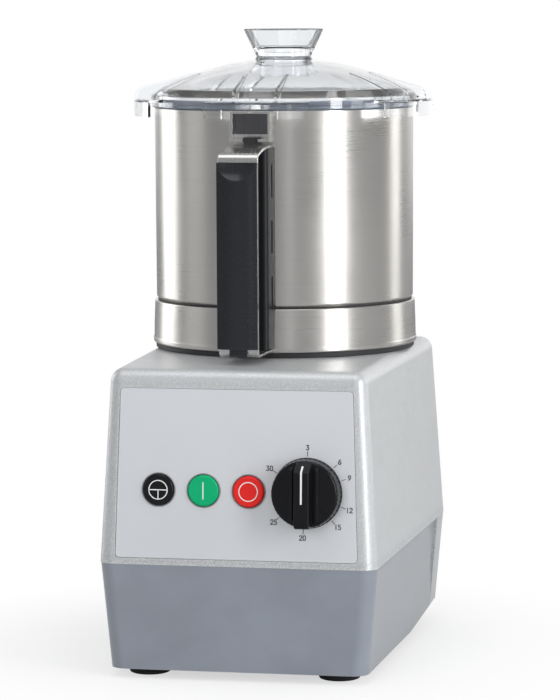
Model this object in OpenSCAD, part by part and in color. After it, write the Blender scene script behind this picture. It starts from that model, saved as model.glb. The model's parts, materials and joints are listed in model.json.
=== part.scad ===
// Vertical cutter mixer: a table-top cutter with a lift-off steel bowl, a clear lid and a speed dial.
// Millimetres, Z up, front toward -Y. The origin is the middle of the footprint, on the table top.
// Most shapes are drawn round the bowl axis, and place() moves that axis to its spot behind the middle.

/* [Base] */
// width across the front of the base at the seam of hood and tub
base_front_w = 208.8; // [180:0.2:240]
// width across the rear of the base at the seam
base_rear_w = 226.6; // [190:0.2:260]
// distance from the bowl axis to the front of the base at the seam
base_front = 195.5; // [180:0.5:230]
// distance from the bowl axis to the rear of the base at the seam
base_rear = 99; // [96:0.5:130]
// how much narrower the hood is at its top
top_draw = 15.8; // [4:0.2:24]
// how far the front face leans back over the hood's height
front_lean = 8; // [2:0.5:20]
// how far the rear face leans in over the hood's height
rear_lean = 12; // [2:0.5:14]
// height of the hood
hood_h = 144; // [120:1:180]
// height of the tub
tub_h = 79; // [50:1:110]
// how much each side of the tub draws in at its bottom
tub_taper = 7.4; // [2:0.2:15]
// how much the tub's front and rear draw in at its bottom
tub_draw = 2.5; // [1:0.5:6]
// step from the hood's side to the tub's side at the seam
tub_step = 0.4; // [0:0.1:2]
// radius of the base's upright corners at the seam
corner_r = 12; // [8:0.5:13.5]
// radius of the hood's top edges
edge_r = 10; // [7:0.5:13]
// wall of the hood
hood_wall = 5; // [3:0.5:6]
// wall of the tub and the rear cover
tub_wall = 4; // [3:0.5:6]
// how high the underside rises toward the rear
rear_rise = 10; // [2:1:16]
// distance behind the bowl axis where the tub ends and the rear cover starts
cover_split = 62; // [40:1:80]
// depth of the recess in the tub's side in front of the rear cover
side_recess = 2.5; // [1:0.5:3]
// length of that recess along its top
side_recess_l = 36; // [15:1:60]
// height of a rubber foot
foot_h = 7; // [4:0.5:15]
// radius of a rubber foot
foot_r = 15.5; // [10:0.5:20]

/* [Front panel and controls] */
// margin beside the panel at its top
panel_top_side = 9.8; // [8:0.2:14]
// margin beside the panel at its bottom
panel_low_side = 13.8; // [12:0.2:18]
// margin between the panel and the hood's top
panel_over = 13.8; // [11:0.2:24]
// margin between the panel and the seam
panel_under = 5.2; // [3:0.2:12]
// thickness of the panel
panel_t = 1.5; // [1.3:0.1:3]
// depth of the panel's recess in the hood
panel_recess = 1.2; // [0.5:0.1:1.4]
// height of the buttons and the dial above the seam
control_h = 55.8; // [48:0.2:70]
// place of the stop button across the face
stop_x = 9.8; // [5:0.2:14]
// distance from one button to the next
button_pitch = 33.8; // [30:0.2:36]
// radius of a button cap
cap_r = 11.6; // [8:0.2:13]
// how far a button cap stands out of the panel
cap_out = 2.2; // [1:0.1:5]
// how far a button travels
press = 3.5; // [1:0.5:4.5]
// place of the dial across the face
dial_x = 53.5; // [50:0.5:54.5]
// radius of the knob at the panel
knob_r = 26; // [18:0.5:26.5]
// height of the knob's round body above the face
knob_body_h = 14; // [8:0.5:20]
// height of the knob's bar above the face
knob_out = 26; // [18:0.5:35]
// width of the knob's bar
bar_w = 11; // [6:0.5:16]
// radius of the potentiometer's shaft
pot_shaft_r = 3; // [2:0.5:4]
// height of a dial number
digit_h = 3.3; // [2:0.1:3.8]

/* [Bowl] */
// outer radius of the bowl at its rim
bowl_r = 101; // [80:0.5:120]
// how much smaller the bowl's radius is at its bottom
bowl_draw = 0.5; // [0:0.1:4]
// height of the bowl shell from its underside to its rim
bowl_h = 148.2; // [100:0.2:200]
// sheet thickness of the bowl
bowl_wall = 1.5; // [1:0.1:3]
// height of the skirt under the bowl
skirt_h = 33.2; // [24:0.2:50]
// how far the skirt stands out past the bowl at its foot
skirt_flare = 2.7; // [1:0.1:6]
// height of the dark ring between skirt and hood
ring_h = 4; // [2:0.5:8]
// radius of the bowl's centre column at the floor
column_r = 19.5; // [14:0.5:26]
// how much the column draws in toward its top
column_draw = 1.5; // [0:0.5:4]
// height of the column above the bowl floor
column_h = 79.7; // [50:0.1:110]
// radius of the seat that centres the bowl on the hood
seat_r = 60.8; // [45:0.2:80]
// height of the seat
seat_h = 20; // [10:1:28]

/* [Handle] */
// turn of the handle away from the front, seen from above
handle_turn = -2.2; // [-20:0.1:20]
// width of the handle strap
strap_w = 31; // [20:0.5:45]
// thickness of the strap
strap_t = 2; // [1.5:0.1:4]
// distance from the bowl's side to the middle of the upright strap
strap_out = 49; // [38:0.5:70]
// height of the catch bracket's foot above the top arm's middle
arm_gap = 3.4; // [2.4:0.2:12]
// how far the top arm dips toward its fold
arm_dip = 4.6; // [1:0.2:10]
// radius of the strap's folds
fold_r = 5; // [3:0.5:10]
// height of the bottom arm's middle above the skirt's foot
low_arm_rise = 2.4; // [1.5:0.1:10]
// depth of the front grip at its middle
grip_d = 6.5; // [5:0.5:14]
// depth of the rear grip shell
grip_back_d = 5; // [3:0.5:10]
// height of the catch bracket
catch_h = 23; // [15:0.5:35]
// how far the bracket stands out from the bowl's side
catch_out = 11; // [8:0.5:12]
// how far the back plate stands out from the bowl's side
back_out = 13; // [9:0.5:22]
// width of the back plate at the bowl
back_w = 35; // [26:0.5:45]

/* [Lid] */
// how far the lid's rim stands out past the bowl rim
lid_out = 2.8; // [2:0.1:6]
// thickness of the dome
lid_t = 2.5; // [1.5:0.1:4]
// rise of the dome from its edge to its top
dome_rise = 24.4; // [14:0.2:50]
// height of the dome's edge above the rim's shoulder
shoulder_h = 3.9; // [2.4:0.1:12]
// height of the lid's seal
seal_h = 7; // [4:0.5:12]
// how far the lugs stand out past the lid's rim
lug_out = 13.2; // [12.6:0.1:25]
// how far the lugs hang below the bowl rim
lug_hang = 6; // [2:0.5:12]
// half the angle that a lug covers
lug_half_a = 20; // [10:1:30]
// number of lugs
lug_count = 5; // [3:1:8]
// distance of a fin from its lug's middle line
fin_off = 16; // [8:0.5:30]
// thickness of a fin and of a lug's wall
fin_t = 2.2; // [1.5:0.1:4]
// outer radius of the feed cup's rim
cup_r = 30.9; // [24:0.1:40]
// outer radius of the cup's stem
stem_r = 19.4; // [14:0.2:20]
// how far the lid's collar stands out past the stem
collar_out = 1.8; // [1.4:0.1:6]
// height of the cup above the collar
cup_h = 21.2; // [12:0.2:40]
// length of the stem below the collar
stem_h = 16; // [10:0.5:30]
// height of the collar above the dome's top
collar_rise = 1.6; // [1:0.2:12]

/* [Blades and drive] */
// gap between the blade tips and the bowl's wall
blade_tip_gap = 6.5; // [2:0.5:20]
// thickness of a blade
blade_t = 2.5; // [1.5:0.1:4]
// height of the upper blade above the lower one
blade_gap = 44; // [25:1:60]
// wall of the blade hub round the bowl's column
hub_wall = 3.6; // [2:0.2:8]
// radius of the motor shaft
shaft_r = 8; // [6:0.5:10]
// step from the shaft to its flatted tip
tip_step = 1; // [0.5:0.1:2]
// distance across the tip's flats as a share of its diameter
tip_flat_share = 0.64; // [0.5:0.02:0.9]
// outer radius of the motor shell
motor_r = 64.5; // [50:0.5:68]
// height of the motor shell above the tub's floor
motor_rise = 64; // [50:1:80]
// height of the stator core as a share of the motor shell's
stator_share = 0.48; // [0.3:0.02:0.5]
// radius of the cooling fan as a share of the motor's
fan_share = 0.78; // [0.5:0.02:0.9]
// radius of the cable hole through the gland
gland_bore = 4.5; // [3:0.5:7]

/* [Hidden] */
$fn = 96;
// the bowl's own clearances and the running fit of the shafts
overrun = 1;
slip = 0.4;
running = 0.05;
slice = 0.5;
hull_sides = 32;
ball_steps = 6;

// heights up the machine
seam_z = foot_h + tub_h;
top_z = seam_z + hood_h;
skirt_z = top_z + ring_h;
groove_h = 1.6;
shell_z = skirt_z + skirt_h + groove_h;
floor_z = shell_z + bowl_wall;
rim_z = shell_z + bowl_h;
column_z = floor_z + column_h;
floor_top = foot_h + tub_wall;
roof_z = top_z - hood_wall;

// the leaning front face
lean_a = atan(front_lean / hood_h);
edge_in = edge_r / cos(lean_a) - edge_r * tan(lean_a);
top_front_w = base_front_w - top_draw;
top_rear_w = base_rear_w - top_draw;
panel_top_w = top_front_w - 2 * panel_top_side;
panel_low_w = base_front_w - 2 * panel_low_side;
panel_h = (hood_h - panel_over - panel_under) / cos(lean_a);
panel_z = seam_z + (hood_h - panel_over + panel_under) / 2;
control_z = seam_z + control_h;
pulse_x = stop_x - 2 * button_pitch;
start_x = stop_x - button_pitch;
panel_gap = 0.4;
panel_corner = 3;
panel_proud = panel_t - panel_recess;
button_x = [pulse_x, start_x, stop_x];
guide_wall = 0.8;
guide_r = cap_r + slip + guide_wall;
guide_out = 0.6;
guide_l = 9;
stem_rod_r = 3.5;
stem_rod_l = 13;
cap_in = 4;
cap_edge = 0.8;
switch_w = 28;
switch_d = 18;
mark_t = 0.2;
mark_w = 1;
mark_r = 7;
bushing_r = 5;
bushing_out = 3.4;
spot_cut = 0.2;
spot_d = hood_wall - spot_cut;
pot_r = 12.5;
pot_d = 14;
pot_shaft_in = 8;
nut_r = 8;
nut_h = 2.5;
knob_gap = 0.5;
knob_draw = 1.5;
nut_room = 1.5;
knob_hollow_r = nut_r + nut_room;
knob_hollow_h = bushing_out + nut_room;
bar_half = knob_r - knob_draw;
bar_slope = 7.5;
pointer_w = 1.3;
pointer_t = 0.3;
pointer_tail = 6;
tick_gap = 0.9;
tick_l = 3.4;
tick_in = knob_r + tick_gap;
number_gap = 2.9;
dial_r = tick_in + tick_l + number_gap;
tick_w = 0.4;
print_t = 0.15;
digit_w = 0.45;

// the dial's numbers and their angles, clockwise from the top
dial_table = [[3, 0], [6, 45.7], [9, 69.3], [12, 111.1], [15, 137.4], [20, 186], [25, 228.8], [30, 301.8]];

// the bowl, its skirt and its seat
bowl_low_r = bowl_r - bowl_draw;
shell_corner = 2;
floor_corner = 10;
groove_d = 1.5;
groove_r = bowl_low_r - groove_d;
skirt_top_r = bowl_low_r + skirt_flare / 2;
skirt_low_r = bowl_low_r + skirt_flare;
skirt_bead = 3.6;
collar_wall = 1.5;
collar_r = seat_r + slip;
collar_drop = 23;
flange_low = shell_z - groove_h;
ring_w = 6.3;
ring_step = 0.8;
ring_out = bowl_low_r + ring_step;
ring_in = ring_out - ring_w;
seat_bore = 20;
seat_hub_r = 32;
seat_hub_h = 6;
seat_edge = 2;
seat_screw_pcr = (seat_hub_r + seat_r) / 2;
screw_r = 4;
screw_tip_r = 3;
screw_h = 2.6;
seal_ring_h = 10;

// the handle, drawn in a plane of distance from the axis and height
catch_low_z = rim_z - catch_h;
arm_z = catch_low_z - arm_gap;
low_arm_z = skirt_z + low_arm_rise;
catch_reach = bowl_r + catch_out;
back_reach = bowl_r + back_out;
strap_reach = bowl_r + strap_out;
catch_wall = 2;
catch_notch = 12;
catch_rise = 1.2;
catch_block_h = arm_gap - strap_t / 2 + catch_wall + catch_rise;
arm_flat = catch_reach;
dip_steps = 6;
fold_a = 75;
grip_gap = 0.6;
grip_top = arm_z - arm_dip - fold_r - grip_gap;
grip_low = low_arm_z + fold_r + grip_gap;
grip_back_taper = 4;
grip_back_round = 1.5;
grip_curve = 40;
grip_face = strap_reach + strap_t / 2;
scoop_r = 20;
scoop_share = 0.9;
scoop_depth = scoop_share * grip_d;
scoop_rise = 1;
tongue_w = 13.5;
tongue_t = 1.6;
back_corner = 4;
back_taper = 9;
back_slot_h = 24.5;
back_slot_pitch = 42;
back_slot_w = 1.8;
back_slot_d = 3;
back_slot_top = 14;

// the lid, its seal and the feed cup
lid_r = bowl_r + lid_out;
lug_r = lid_r + lug_out;
seat_ledge_z = rim_z + seal_h;
seal_step = 0.5;
seal_w = 4.6;
seal_out = bowl_r + seal_step;
seal_in = seal_out - seal_w;
rim_in = seal_out + slip;
shoulder_w = 4;
shoulder_round = 1.2;
dome_edge = lid_r - shoulder_w;
dome_steps = 12;
rim_gap = 1;
rim_top = seat_ledge_z + lid_t;
dome_top_z = rim_top + shoulder_h + dome_rise;
dome_r = (pow(dome_edge, 2) + pow(dome_rise, 2)) / (2 * dome_rise);
dome_c = dome_top_z - dome_r;
rim_low = rim_z + rim_gap;
lug_top = rim_z + seal_h;
lug_low = rim_z - lug_hang;
lug_round = 6;
lug_root = (rim_in + lid_r) / 2;
fin_start_share = 0.55;
fin_start = fin_start_share * lid_r;
fin_steps = 6;
fin_bury = lid_t / 2;
waist_r = stem_r + collar_out;
collar_z = dome_top_z + collar_rise;
stem_slip = 0.4;
cup_wall = 2.1;
throat_r = stem_r - cup_wall;
throat_lip = 0.6;
cup_rim_h = 1;
throat_h = 7.5;
magnet_r = 3.5;
magnet_h = 3.4;

// the blades and their hub
hub_gap = 1.7;
hub_z = floor_z + hub_gap;
hub_flange = 2;
hub_rim = 3;
hub_slip = 0.9;
hub_bore = column_r + hub_slip;
hub_r = hub_bore + hub_wall;
hub_flange_r = hub_r + hub_rim;
blade_reach = bowl_r - bowl_wall - blade_tip_gap;
blade_z = hub_z + hub_flange;
upper_z = blade_z + blade_gap;
hub_room = 2.8;
hub_roof = column_z + hub_room;
tip_h = 22;
tip_r = shaft_r - tip_step;
tip_flat = 2 * tip_r * tip_flat_share;
tip_drop = 5;
tip_z = column_z - tip_drop;
hub_lid = 4;
hub_top = tip_z + tip_h + hub_lid;
hub_cap_h = 12;
hub_cap_draw = 5;
hub_cap_edge_r = hub_flange_r - hub_cap_draw;
hub_cap_top_r = hub_cap_edge_r - hub_cap_draw;
hub_cap_edge_h = 8;

// the motor, hung under the hood's top
flange_rim = 3.5;
flange_r = motor_r + flange_rim;
flange_t = 8;
shell_t = 2.5;
bearing_r = 20;
bearing_h = 14;
bearing_wall = 6;
flange_z = roof_z - flange_t;
motor_z = floor_top + motor_rise;
motor_h = flange_z - motor_z;
shield_t = 7;
shield_z = motor_z - shield_t;
stator_bore_share = 0.59;
stator_bore = stator_bore_share * motor_r;
stator_h = stator_share * motor_h;
winding_share = 0.13;
winding_h = winding_share * motor_h;
stator_z = motor_z + (motor_h - stator_h) / 2;
winding_gap = 5;
winding_in = stator_bore + winding_gap;
winding_out = motor_r - shell_t - winding_gap;
shaft_room = 4;
air_gap = 0.8;
fan_h = 14;
fan_gap = 2;
fan_z = shield_z - bearing_h - fan_h - fan_gap;
fan_r = fan_share * motor_r;
fan_hub_r = 18;
fan_disc = 2;
fan_blades = 9;
fan_blade_t = 2;
shaft_low = fan_z - fan_gap;

// the board behind the panel
board_side = 39.4;
board = [base_front_w - 2 * board_side, 75, 1.6];
board_in = 65.5;
board_y = board_in - base_front;
board_rise = 13;
board_z = floor_top + board_rise;
post_r = 3;
post_in = 6;
sink_share = 0.46;
sink_place = -0.215;
sink = [sink_share * board[0], 40, 4];
sink_x = sink_place * board[0];
fin_plate = [1.6, 40, 22];
sink_fins = 7;
capacitor_r = 11;
capacitor_h = 36;
capacitor_share = [0.17, 0.37];
capacitor_x = capacitor_share * board[0];

// feet, screws, vents and the cable gland
foot_side_in = 32.4;
rear_foot_side_in = 35.3;
front_foot_in = 30.5;
rear_foot_in = 24;
front_foot = [base_front_w / 2 - foot_side_in, front_foot_in - base_front];
rear_foot = [base_rear_w / 2 - rear_foot_side_in, cover_split - rear_foot_in];
rear_feet = [[-rear_foot[0], rear_foot[1]], rear_foot];
foot_places = [[-front_foot[0], front_foot[1]], front_foot, rear_feet[0], rear_feet[1]];
foot_well_r = 6;
foot_well_h = 3.5;
foot_hole_r = 2.7;
foot_screw_h = 2.5;
foot_shank = 10;
pad_extra = 2;
side_recess_rise = 14;
grille_share = [0.45, 0.8];
vent_w = 64;
vent_h = 3.2;
vent_pitch = 8;
vent_count = 5;
vent_x = -40;
vent_z = 34;
grille_r = 2.4;
gland_x = 56;
gland_z = 52;
gland_pad_r = 15;
gland_pad_out = 2.5;
gland_hex_r = 12;
gland_hex_h = 6;
gland_nose_r = 10;
gland_nose_h = 9;
gland_nose_tip_r = 8;
gland_thread_r = 8;
gland_nut_h = 4;
gland_face = base_rear + gland_pad_out;
gland_pad_in = 5;
gland_inside = base_rear - tub_wall - gland_pad_in;
cover_screw_in = 6;
cover_screw_drop = 12;
cover_screw_x = base_rear_w / 2 - tub_taper - corner_r - cover_screw_in;
cover_screw_z = seam_z - cover_screw_drop;

// the whole machine is centred on its footprint, from the knob's front to the gland's nose
front_reach = -face_y(control_z) + knob_out * cos(lean_a) + bar_half * sin(lean_a);
rear_reach = gland_face + gland_hex_h + gland_nose_h;
axis_y = (front_reach - rear_reach) / 2;

cast_grey = [0.79, 0.80, 0.81];
panel_grey = [0.84, 0.85, 0.87];
tub_blue = [0.52, 0.55, 0.60];
steel = [0.74, 0.73, 0.71];
dark_steel = [0.42, 0.41, 0.40];
black = [0.07, 0.07, 0.08];
rubber = [0.10, 0.10, 0.10];
white = [0.95, 0.95, 0.95];
green = [0.02, 0.66, 0.40];
red = [0.91, 0.15, 0.13];
clear = [0.82, 0.88, 0.92, 0.45];
seal_blue = [0.55, 0.62, 0.70];
copper = [0.72, 0.42, 0.22];
board_green = [0.10, 0.36, 0.20];

// height of the leaning front face's surface, as a distance along Y, at a height z
function face_y(z) = front_lean * (z - seam_z) / hood_h - base_front;

// points of a four-cornered outline with round corners, its top and bottom widths set apart
function rounded(top_w, low_w, h, r) = [
    for (c = [[1, 1, 0, top_w], [-1, 1, 90, top_w], [-1, -1, 180, low_w], [1, -1, 270, low_w]])
        each arc([c[0] * (c[3] / 2 - r), c[1] * (h / 2 - r)], r, c[2], c[2] + 90, 4)
];

// points of an arc about c, from angle a to angle b
function arc(c, r, a, b, n) = [for (i = [0:n]) c + r * [cos(a + (b - a) * i / n), sin(a + (b - a) * i / n)]];

// outline of a strip of thickness t along a path
function along(path, i) = path[min(i + 1, len(path) - 1)] - path[max(i - 1, 0)];
function across(path, i) = [-along(path, i)[1], along(path, i)[0]] / norm(along(path, i));
function strip(path, t) = concat(
    [for (i = [0:len(path) - 1]) path[i] + across(path, i) * t / 2],
    [for (i = [len(path) - 1:-1:0]) path[i] - across(path, i) * t / 2]
);

// height of the dome's sphere, a depth below its outside, at a distance r from the axis
function dome_z(r, depth) = dome_c + sqrt(pow(dome_r - depth, 2) - r * r);

module place() {
    translate([0, axis_y, 0]) children();
}

// local frame on the front face: X across, Y up the face, Z out of it
module on_face(x, z) {
    translate([x, face_y(z), z]) rotate([90 - lean_a, 0, 0]) children();
}

// a tube or disc from one height to another
module tube(r_out, r_in, low, high) {
    translate([0, 0, low]) difference() {
        cylinder(r = r_out, h = high - low);
        translate([0, 0, -overrun]) cylinder(r = r_in, h = high - low + 2 * overrun);
    }
}

module ball(r) {
    rotate_extrude($fn = hull_sides) polygon(concat([[0, 0]], arc([0, 0], r, 0, 90, ball_steps)));
}

module corner_disc(r) {
    cylinder(r = r, h = slice, $fn = hull_sides);
}

// the hood's body, drawn in by inset, with its corners' feet at a height low
module hood_form(inset, low) {
    hull() for (side = [-1, 1]) {
        translate([side * (top_front_w / 2 - edge_r), edge_in + front_lean - base_front, top_z - edge_r])
            ball(edge_r - inset);
        translate([side * (top_rear_w / 2 - edge_r), base_rear - rear_lean - edge_r, top_z - edge_r])
            ball(edge_r - inset);
        translate([side * (base_front_w / 2 - corner_r), corner_r - base_front, low])
            corner_disc(corner_r - inset);
        translate([side * (base_rear_w / 2 - corner_r), base_rear - corner_r, low])
            corner_disc(corner_r - inset);
    }
}

// the body that tub and rear cover share, drawn in by inset, from a height low to a height high
module lower_form(inset, low, high) {
    top_in = corner_r + tub_step;
    hull() for (side = [-1, 1]) {
        translate([side * (base_front_w / 2 - top_in), top_in - base_front, high - slice])
            corner_disc(corner_r - inset);
        translate([side * (base_rear_w / 2 - top_in), base_rear - top_in, high - slice])
            corner_disc(corner_r - inset);
        translate([side * (base_front_w / 2 - tub_taper - corner_r), tub_draw + corner_r - base_front, low])
            corner_disc(corner_r - inset);
        translate([side * (base_rear_w / 2 - tub_taper - corner_r), base_rear - tub_draw - corner_r, low])
            corner_disc(corner_r - inset);
    }
}

// a prism across the machine from an outline in Y and Z
module across_prism(points, w) {
    translate([-w / 2, 0, 0]) rotate([90, 0, 90]) linear_extrude(w) polygon(points);
}

// what the rising underside takes off at the rear, raised by lift
module rear_wedge(lift) {
    start = -foot_r;
    stop = base_rear + overrun;
    across_prism([
        [start, foot_h + lift], [stop, foot_h + lift + rear_rise], [stop, -overrun], [start, -overrun]
    ], 2 * base_rear_w);
}

// everything in front of the rear cover, or behind it
module split_block(front) {
    depth = base_front + base_rear;
    translate([-base_rear_w, front ? cover_split - depth : cover_split, 0])
        cube([2 * base_rear_w, depth, seam_z + overrun]);
}

module lower_hollow() {
    difference() {
        lower_form(tub_wall, floor_top, seam_z + overrun);
        rear_wedge(tub_wall);
    }
}

module hood() {
    color(cast_grey) place() difference() {
        hood_form(0, seam_z);
        hood_form(hood_wall, seam_z - overrun);
        on_face(0, panel_z) translate([0, 0, -panel_recess]) linear_extrude(panel_recess + overrun)
            panel_outline(panel_gap);
        for (x = button_x) on_face(x, control_z) translate([0, 0, -2 * hood_wall])
            cylinder(r = guide_r, h = 3 * hood_wall);
        on_face(dial_x, control_z) translate([0, 0, -2 * hood_wall]) {
            cylinder(r = bushing_r + slip, h = 3 * hood_wall);
            cylinder(r = pot_r + slip, h = 2 * hood_wall - spot_d);
        }
        translate([0, 0, roof_z - overrun]) cylinder(r = seat_bore + 2 * slip, h = hood_wall + 2 * overrun);
    }
}

module panel_outline(grow) {
    polygon(rounded(panel_top_w + 2 * grow, panel_low_w + 2 * grow, panel_h + 2 * grow, panel_corner + grow));
}

module front_panel() {
    color(panel_grey) place() difference() {
        on_face(0, panel_z) translate([0, 0, -panel_recess]) linear_extrude(panel_t) panel_outline(0);
        for (x = button_x) on_face(x, control_z) translate([0, 0, -panel_t - overrun])
            cylinder(r = guide_r, h = 2 * panel_t + 2 * overrun);
        on_face(dial_x, control_z) translate([0, 0, -panel_t - overrun])
            cylinder(r = bushing_r + slip, h = 2 * panel_t + 2 * overrun);
    }
}

// the one stroke of a digit, in shares of its height
function digit_share(d) =
    d == 0 ? concat(arc([0.28, 0.74], 0.26, 0, 180, 8), arc([0.28, 0.26], 0.26, 180, 360, 8), [[0.54, 0.58]])
    : d == 1 ? [[0.34, 1], [0.34, 0]]
    : d == 2 ? concat(arc([0.28, 0.74], 0.26, 165, -35, 8), [[0.02, 0], [0.56, 0]])
    : d == 3 ? concat([[0.04, 1], [0.5, 1]], arc([0.26, 0.3], 0.28, 90, -150, 8))
    : d == 5 ? concat([[0.5, 1], [0.1, 1], [0.1, 0.6]], arc([0.26, 0.3], 0.3, 100, -140, 8))
    : d == 6 ? concat([[0.47, 0.97], [0.24, 0.84], [0.07, 0.6]], arc([0.28, 0.28], 0.27, 170, 440, 11))
    : concat([[0.09, 0.03], [0.32, 0.16], [0.49, 0.4]], arc([0.28, 0.72], 0.27, -10, 260, 11));

module digit(d) {
    polygon(strip(digit_share(d) * digit_h, digit_w));
}

// a number of one or two digits, centred on its place
module number(n) {
    mid_share = 0.28;
    pitch_share = 0.78;
    if (n < 10) translate([-mid_share * digit_h, -digit_h / 2]) digit(n);
    else {
        translate([-(mid_share + pitch_share / 2) * digit_h, -digit_h / 2]) digit(floor(n / 10));
        translate([(pitch_share / 2 - mid_share) * digit_h, -digit_h / 2]) digit(n % 10);
    }
}

module dial_marks() {
    color(black) place() on_face(dial_x, control_z) translate([0, 0, panel_proud]) linear_extrude(print_t)
        for (mark = dial_table) {
            rotate(-mark[1]) translate([-tick_w / 2, tick_in]) square([tick_w, tick_l]);
            translate(dial_r * [sin(mark[1]), cos(mark[1])]) number(mark[0]);
        }
}

module tub() {
    color(tub_blue) place() difference() {
        union() {
            difference() {
                intersection() {
                    lower_form(0, foot_h, seam_z);
                    split_block(true);
                }
                rear_wedge(0);
            }
            for (p = rear_feet) translate([p[0], p[1], foot_h])
                cylinder(r = foot_r + pad_extra, h = rear_rise);
        }
        difference() {
            lower_hollow();
            for (p = rear_feet) translate([p[0], p[1], foot_h])
                cylinder(r = foot_r + pad_extra, h = rear_rise);
        }
        difference() {
            across_prism([
                [cover_split - side_recess_l, seam_z + overrun], [cover_split + overrun, seam_z + overrun],
                [cover_split + overrun, foot_h + side_recess_rise]
            ], 2 * base_rear_w);
            lower_form(side_recess, foot_h, seam_z + 2 * overrun);
        }
        for (p = foot_places) translate([p[0], p[1], 0]) cylinder(r = foot_hole_r, h = foot_well_h + foot_shank);
        for (a = [0:45:315]) for (share = grille_share)
            rotate(a) translate([share * fan_r, 0, 0]) cylinder(r = grille_r, h = 2 * floor_top);
    }
}

module rear_cover() {
    color(cast_grey) place() difference() {
        union() {
            difference() {
                intersection() {
                    lower_form(0, foot_h, seam_z);
                    split_block(false);
                }
                rear_wedge(0);
                lower_hollow();
            }
            translate([gland_x, gland_inside, gland_z]) rotate([-90, 0, 0])
                cylinder(r = gland_pad_r, h = gland_face - gland_inside);
        }
        translate([gland_x, gland_inside - overrun, gland_z]) rotate([-90, 0, 0])
            cylinder(r = gland_thread_r, h = gland_face - gland_inside + 2 * overrun);
        for (i = [0:vent_count - 1])
            translate([vent_x - vent_w / 2, base_rear - 2 * tub_wall, vent_z + i * vent_pitch])
                cube([vent_w, 3 * tub_wall, vent_h]);
    }
}

module feet() {
    color(rubber) place() for (p = foot_places) translate([p[0], p[1], 0]) difference() {
        cylinder(r = foot_r, h = foot_h);
        translate([0, 0, -overrun]) cylinder(r = foot_well_r, h = foot_well_h + overrun);
        cylinder(r = foot_hole_r, h = foot_h + overrun);
    }
}

module foot_screws() {
    color(steel) place() for (p = foot_places) translate([p[0], p[1], foot_well_h]) {
        translate([0, 0, -foot_screw_h]) cylinder(r = screw_r, h = foot_screw_h);
        cylinder(r = foot_hole_r, h = foot_shank);
    }
}

// screw heads on the rear cover, on a face that leans in toward its foot
module cover_screws() {
    draw = tub_draw - tub_step;
    fall = tub_h - 2 * slice;
    skin_y = base_rear - tub_step - draw * (cover_screw_drop - slice) / fall;
    color(steel) place() for (side = [-1, 1])
        translate([side * cover_screw_x, skin_y, cover_screw_z]) rotate([-90 - atan(draw / fall), 0, 0])
            cylinder(r = screw_r, h = screw_h);
}

module bowl_seat() {
    color(steel) place() rotate_extrude() polygon([
        [seat_bore, top_z], [seat_r, top_z], [seat_r, top_z + seat_h - seat_edge],
        [seat_r - seat_edge, top_z + seat_h], [seat_hub_r + seat_edge, top_z + seat_h],
        [seat_hub_r, top_z + seat_h + seat_hub_h], [seat_bore, top_z + seat_h + seat_hub_h]
    ]);
}

module seat_screws() {
    color(dark_steel) place() for (a = [45:90:315])
        rotate(a) translate([seat_screw_pcr, 0, top_z + seat_h]) cylinder(r = screw_r, h = screw_h);
}

module shaft_seal() {
    seal_top = top_z + seat_h + seat_hub_h;
    color(rubber) place() tube(seat_bore, shaft_r + slip, seal_top - seal_ring_h, seal_top);
}

module motor_flange() {
    color(cast_grey) place() {
        tube(flange_r, shaft_r + shaft_room, flange_z, roof_z);
        tube(bearing_r + bearing_wall, bearing_r, flange_z - bearing_h, flange_z);
    }
}

module motor_shell() {
    color(dark_steel) place() tube(motor_r, motor_r - shell_t, motor_z, flange_z);
}

module end_shield() {
    color(cast_grey) place() {
        tube(motor_r, shaft_r + shaft_room, shield_z, motor_z);
        tube(bearing_r + bearing_wall, bearing_r, shield_z - bearing_h, shield_z);
    }
}

module stator_core() {
    color(dark_steel) place() tube(motor_r - shell_t, stator_bore, stator_z, stator_z + stator_h);
}

module stator_windings() {
    color(copper) place() for (low = [stator_z - winding_h, stator_z + stator_h])
        tube(winding_out, winding_in, low, low + winding_h);
}

module upper_bearing() {
    color(steel) place() tube(bearing_r, shaft_r + running, flange_z - bearing_h, flange_z);
}

module lower_bearing() {
    color(steel) place() tube(bearing_r, shaft_r + running, shield_z - bearing_h, shield_z);
}

module button_guides() {
    color(black) place() for (x = button_x) on_face(x, control_z)
        tube(guide_r, cap_r + slip, -guide_l, panel_proud + guide_out);
}

module switch_blocks() {
    color(black) place() for (x = button_x) on_face(x, control_z) difference() {
        translate([-switch_w / 2, -switch_w / 2, -guide_l - switch_d]) cube([switch_w, switch_w, switch_d]);
        translate([0, 0, -stem_rod_l - press - overrun])
            cylinder(r = stem_rod_r + slip, h = stem_rod_l + press);
    }
}

module pot_body() {
    color(dark_steel) place() on_face(dial_x, control_z) difference() {
        union() {
            translate([0, 0, -spot_d - pot_d]) cylinder(r = pot_r, h = pot_d);
            translate([0, 0, -spot_d]) cylinder(r = bushing_r, h = spot_d + bushing_out);
        }
        translate([0, 0, -pot_shaft_in - slip])
            cylinder(r = pot_shaft_r + running, h = pot_shaft_in + bushing_out + overrun);
    }
}

module pot_nut() {
    color(steel) place() on_face(dial_x, control_z) tube(nut_r, bushing_r, panel_proud, panel_proud + nut_h);
}

module control_board() {
    color(board_green) place() translate([-board[0] / 2, board_y - board[1] / 2, board_z]) cube(board);
}

module board_posts() {
    color(steel) place() for (x = [-1, 1], y = [-1, 1])
        translate([x * (board[0] / 2 - post_in), board_y + y * (board[1] / 2 - post_in), floor_top])
            cylinder(r = post_r, h = board_rise);
}

module heat_sink() {
    color(cast_grey) place() translate([sink_x - sink[0] / 2, board_y - sink[1] / 2, board_z + board[2]]) {
        cube(sink);
        for (i = [0:sink_fins - 1])
            translate([i * (sink[0] - fin_plate[0]) / (sink_fins - 1), 0, sink[2]]) cube(fin_plate);
    }
}

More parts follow.
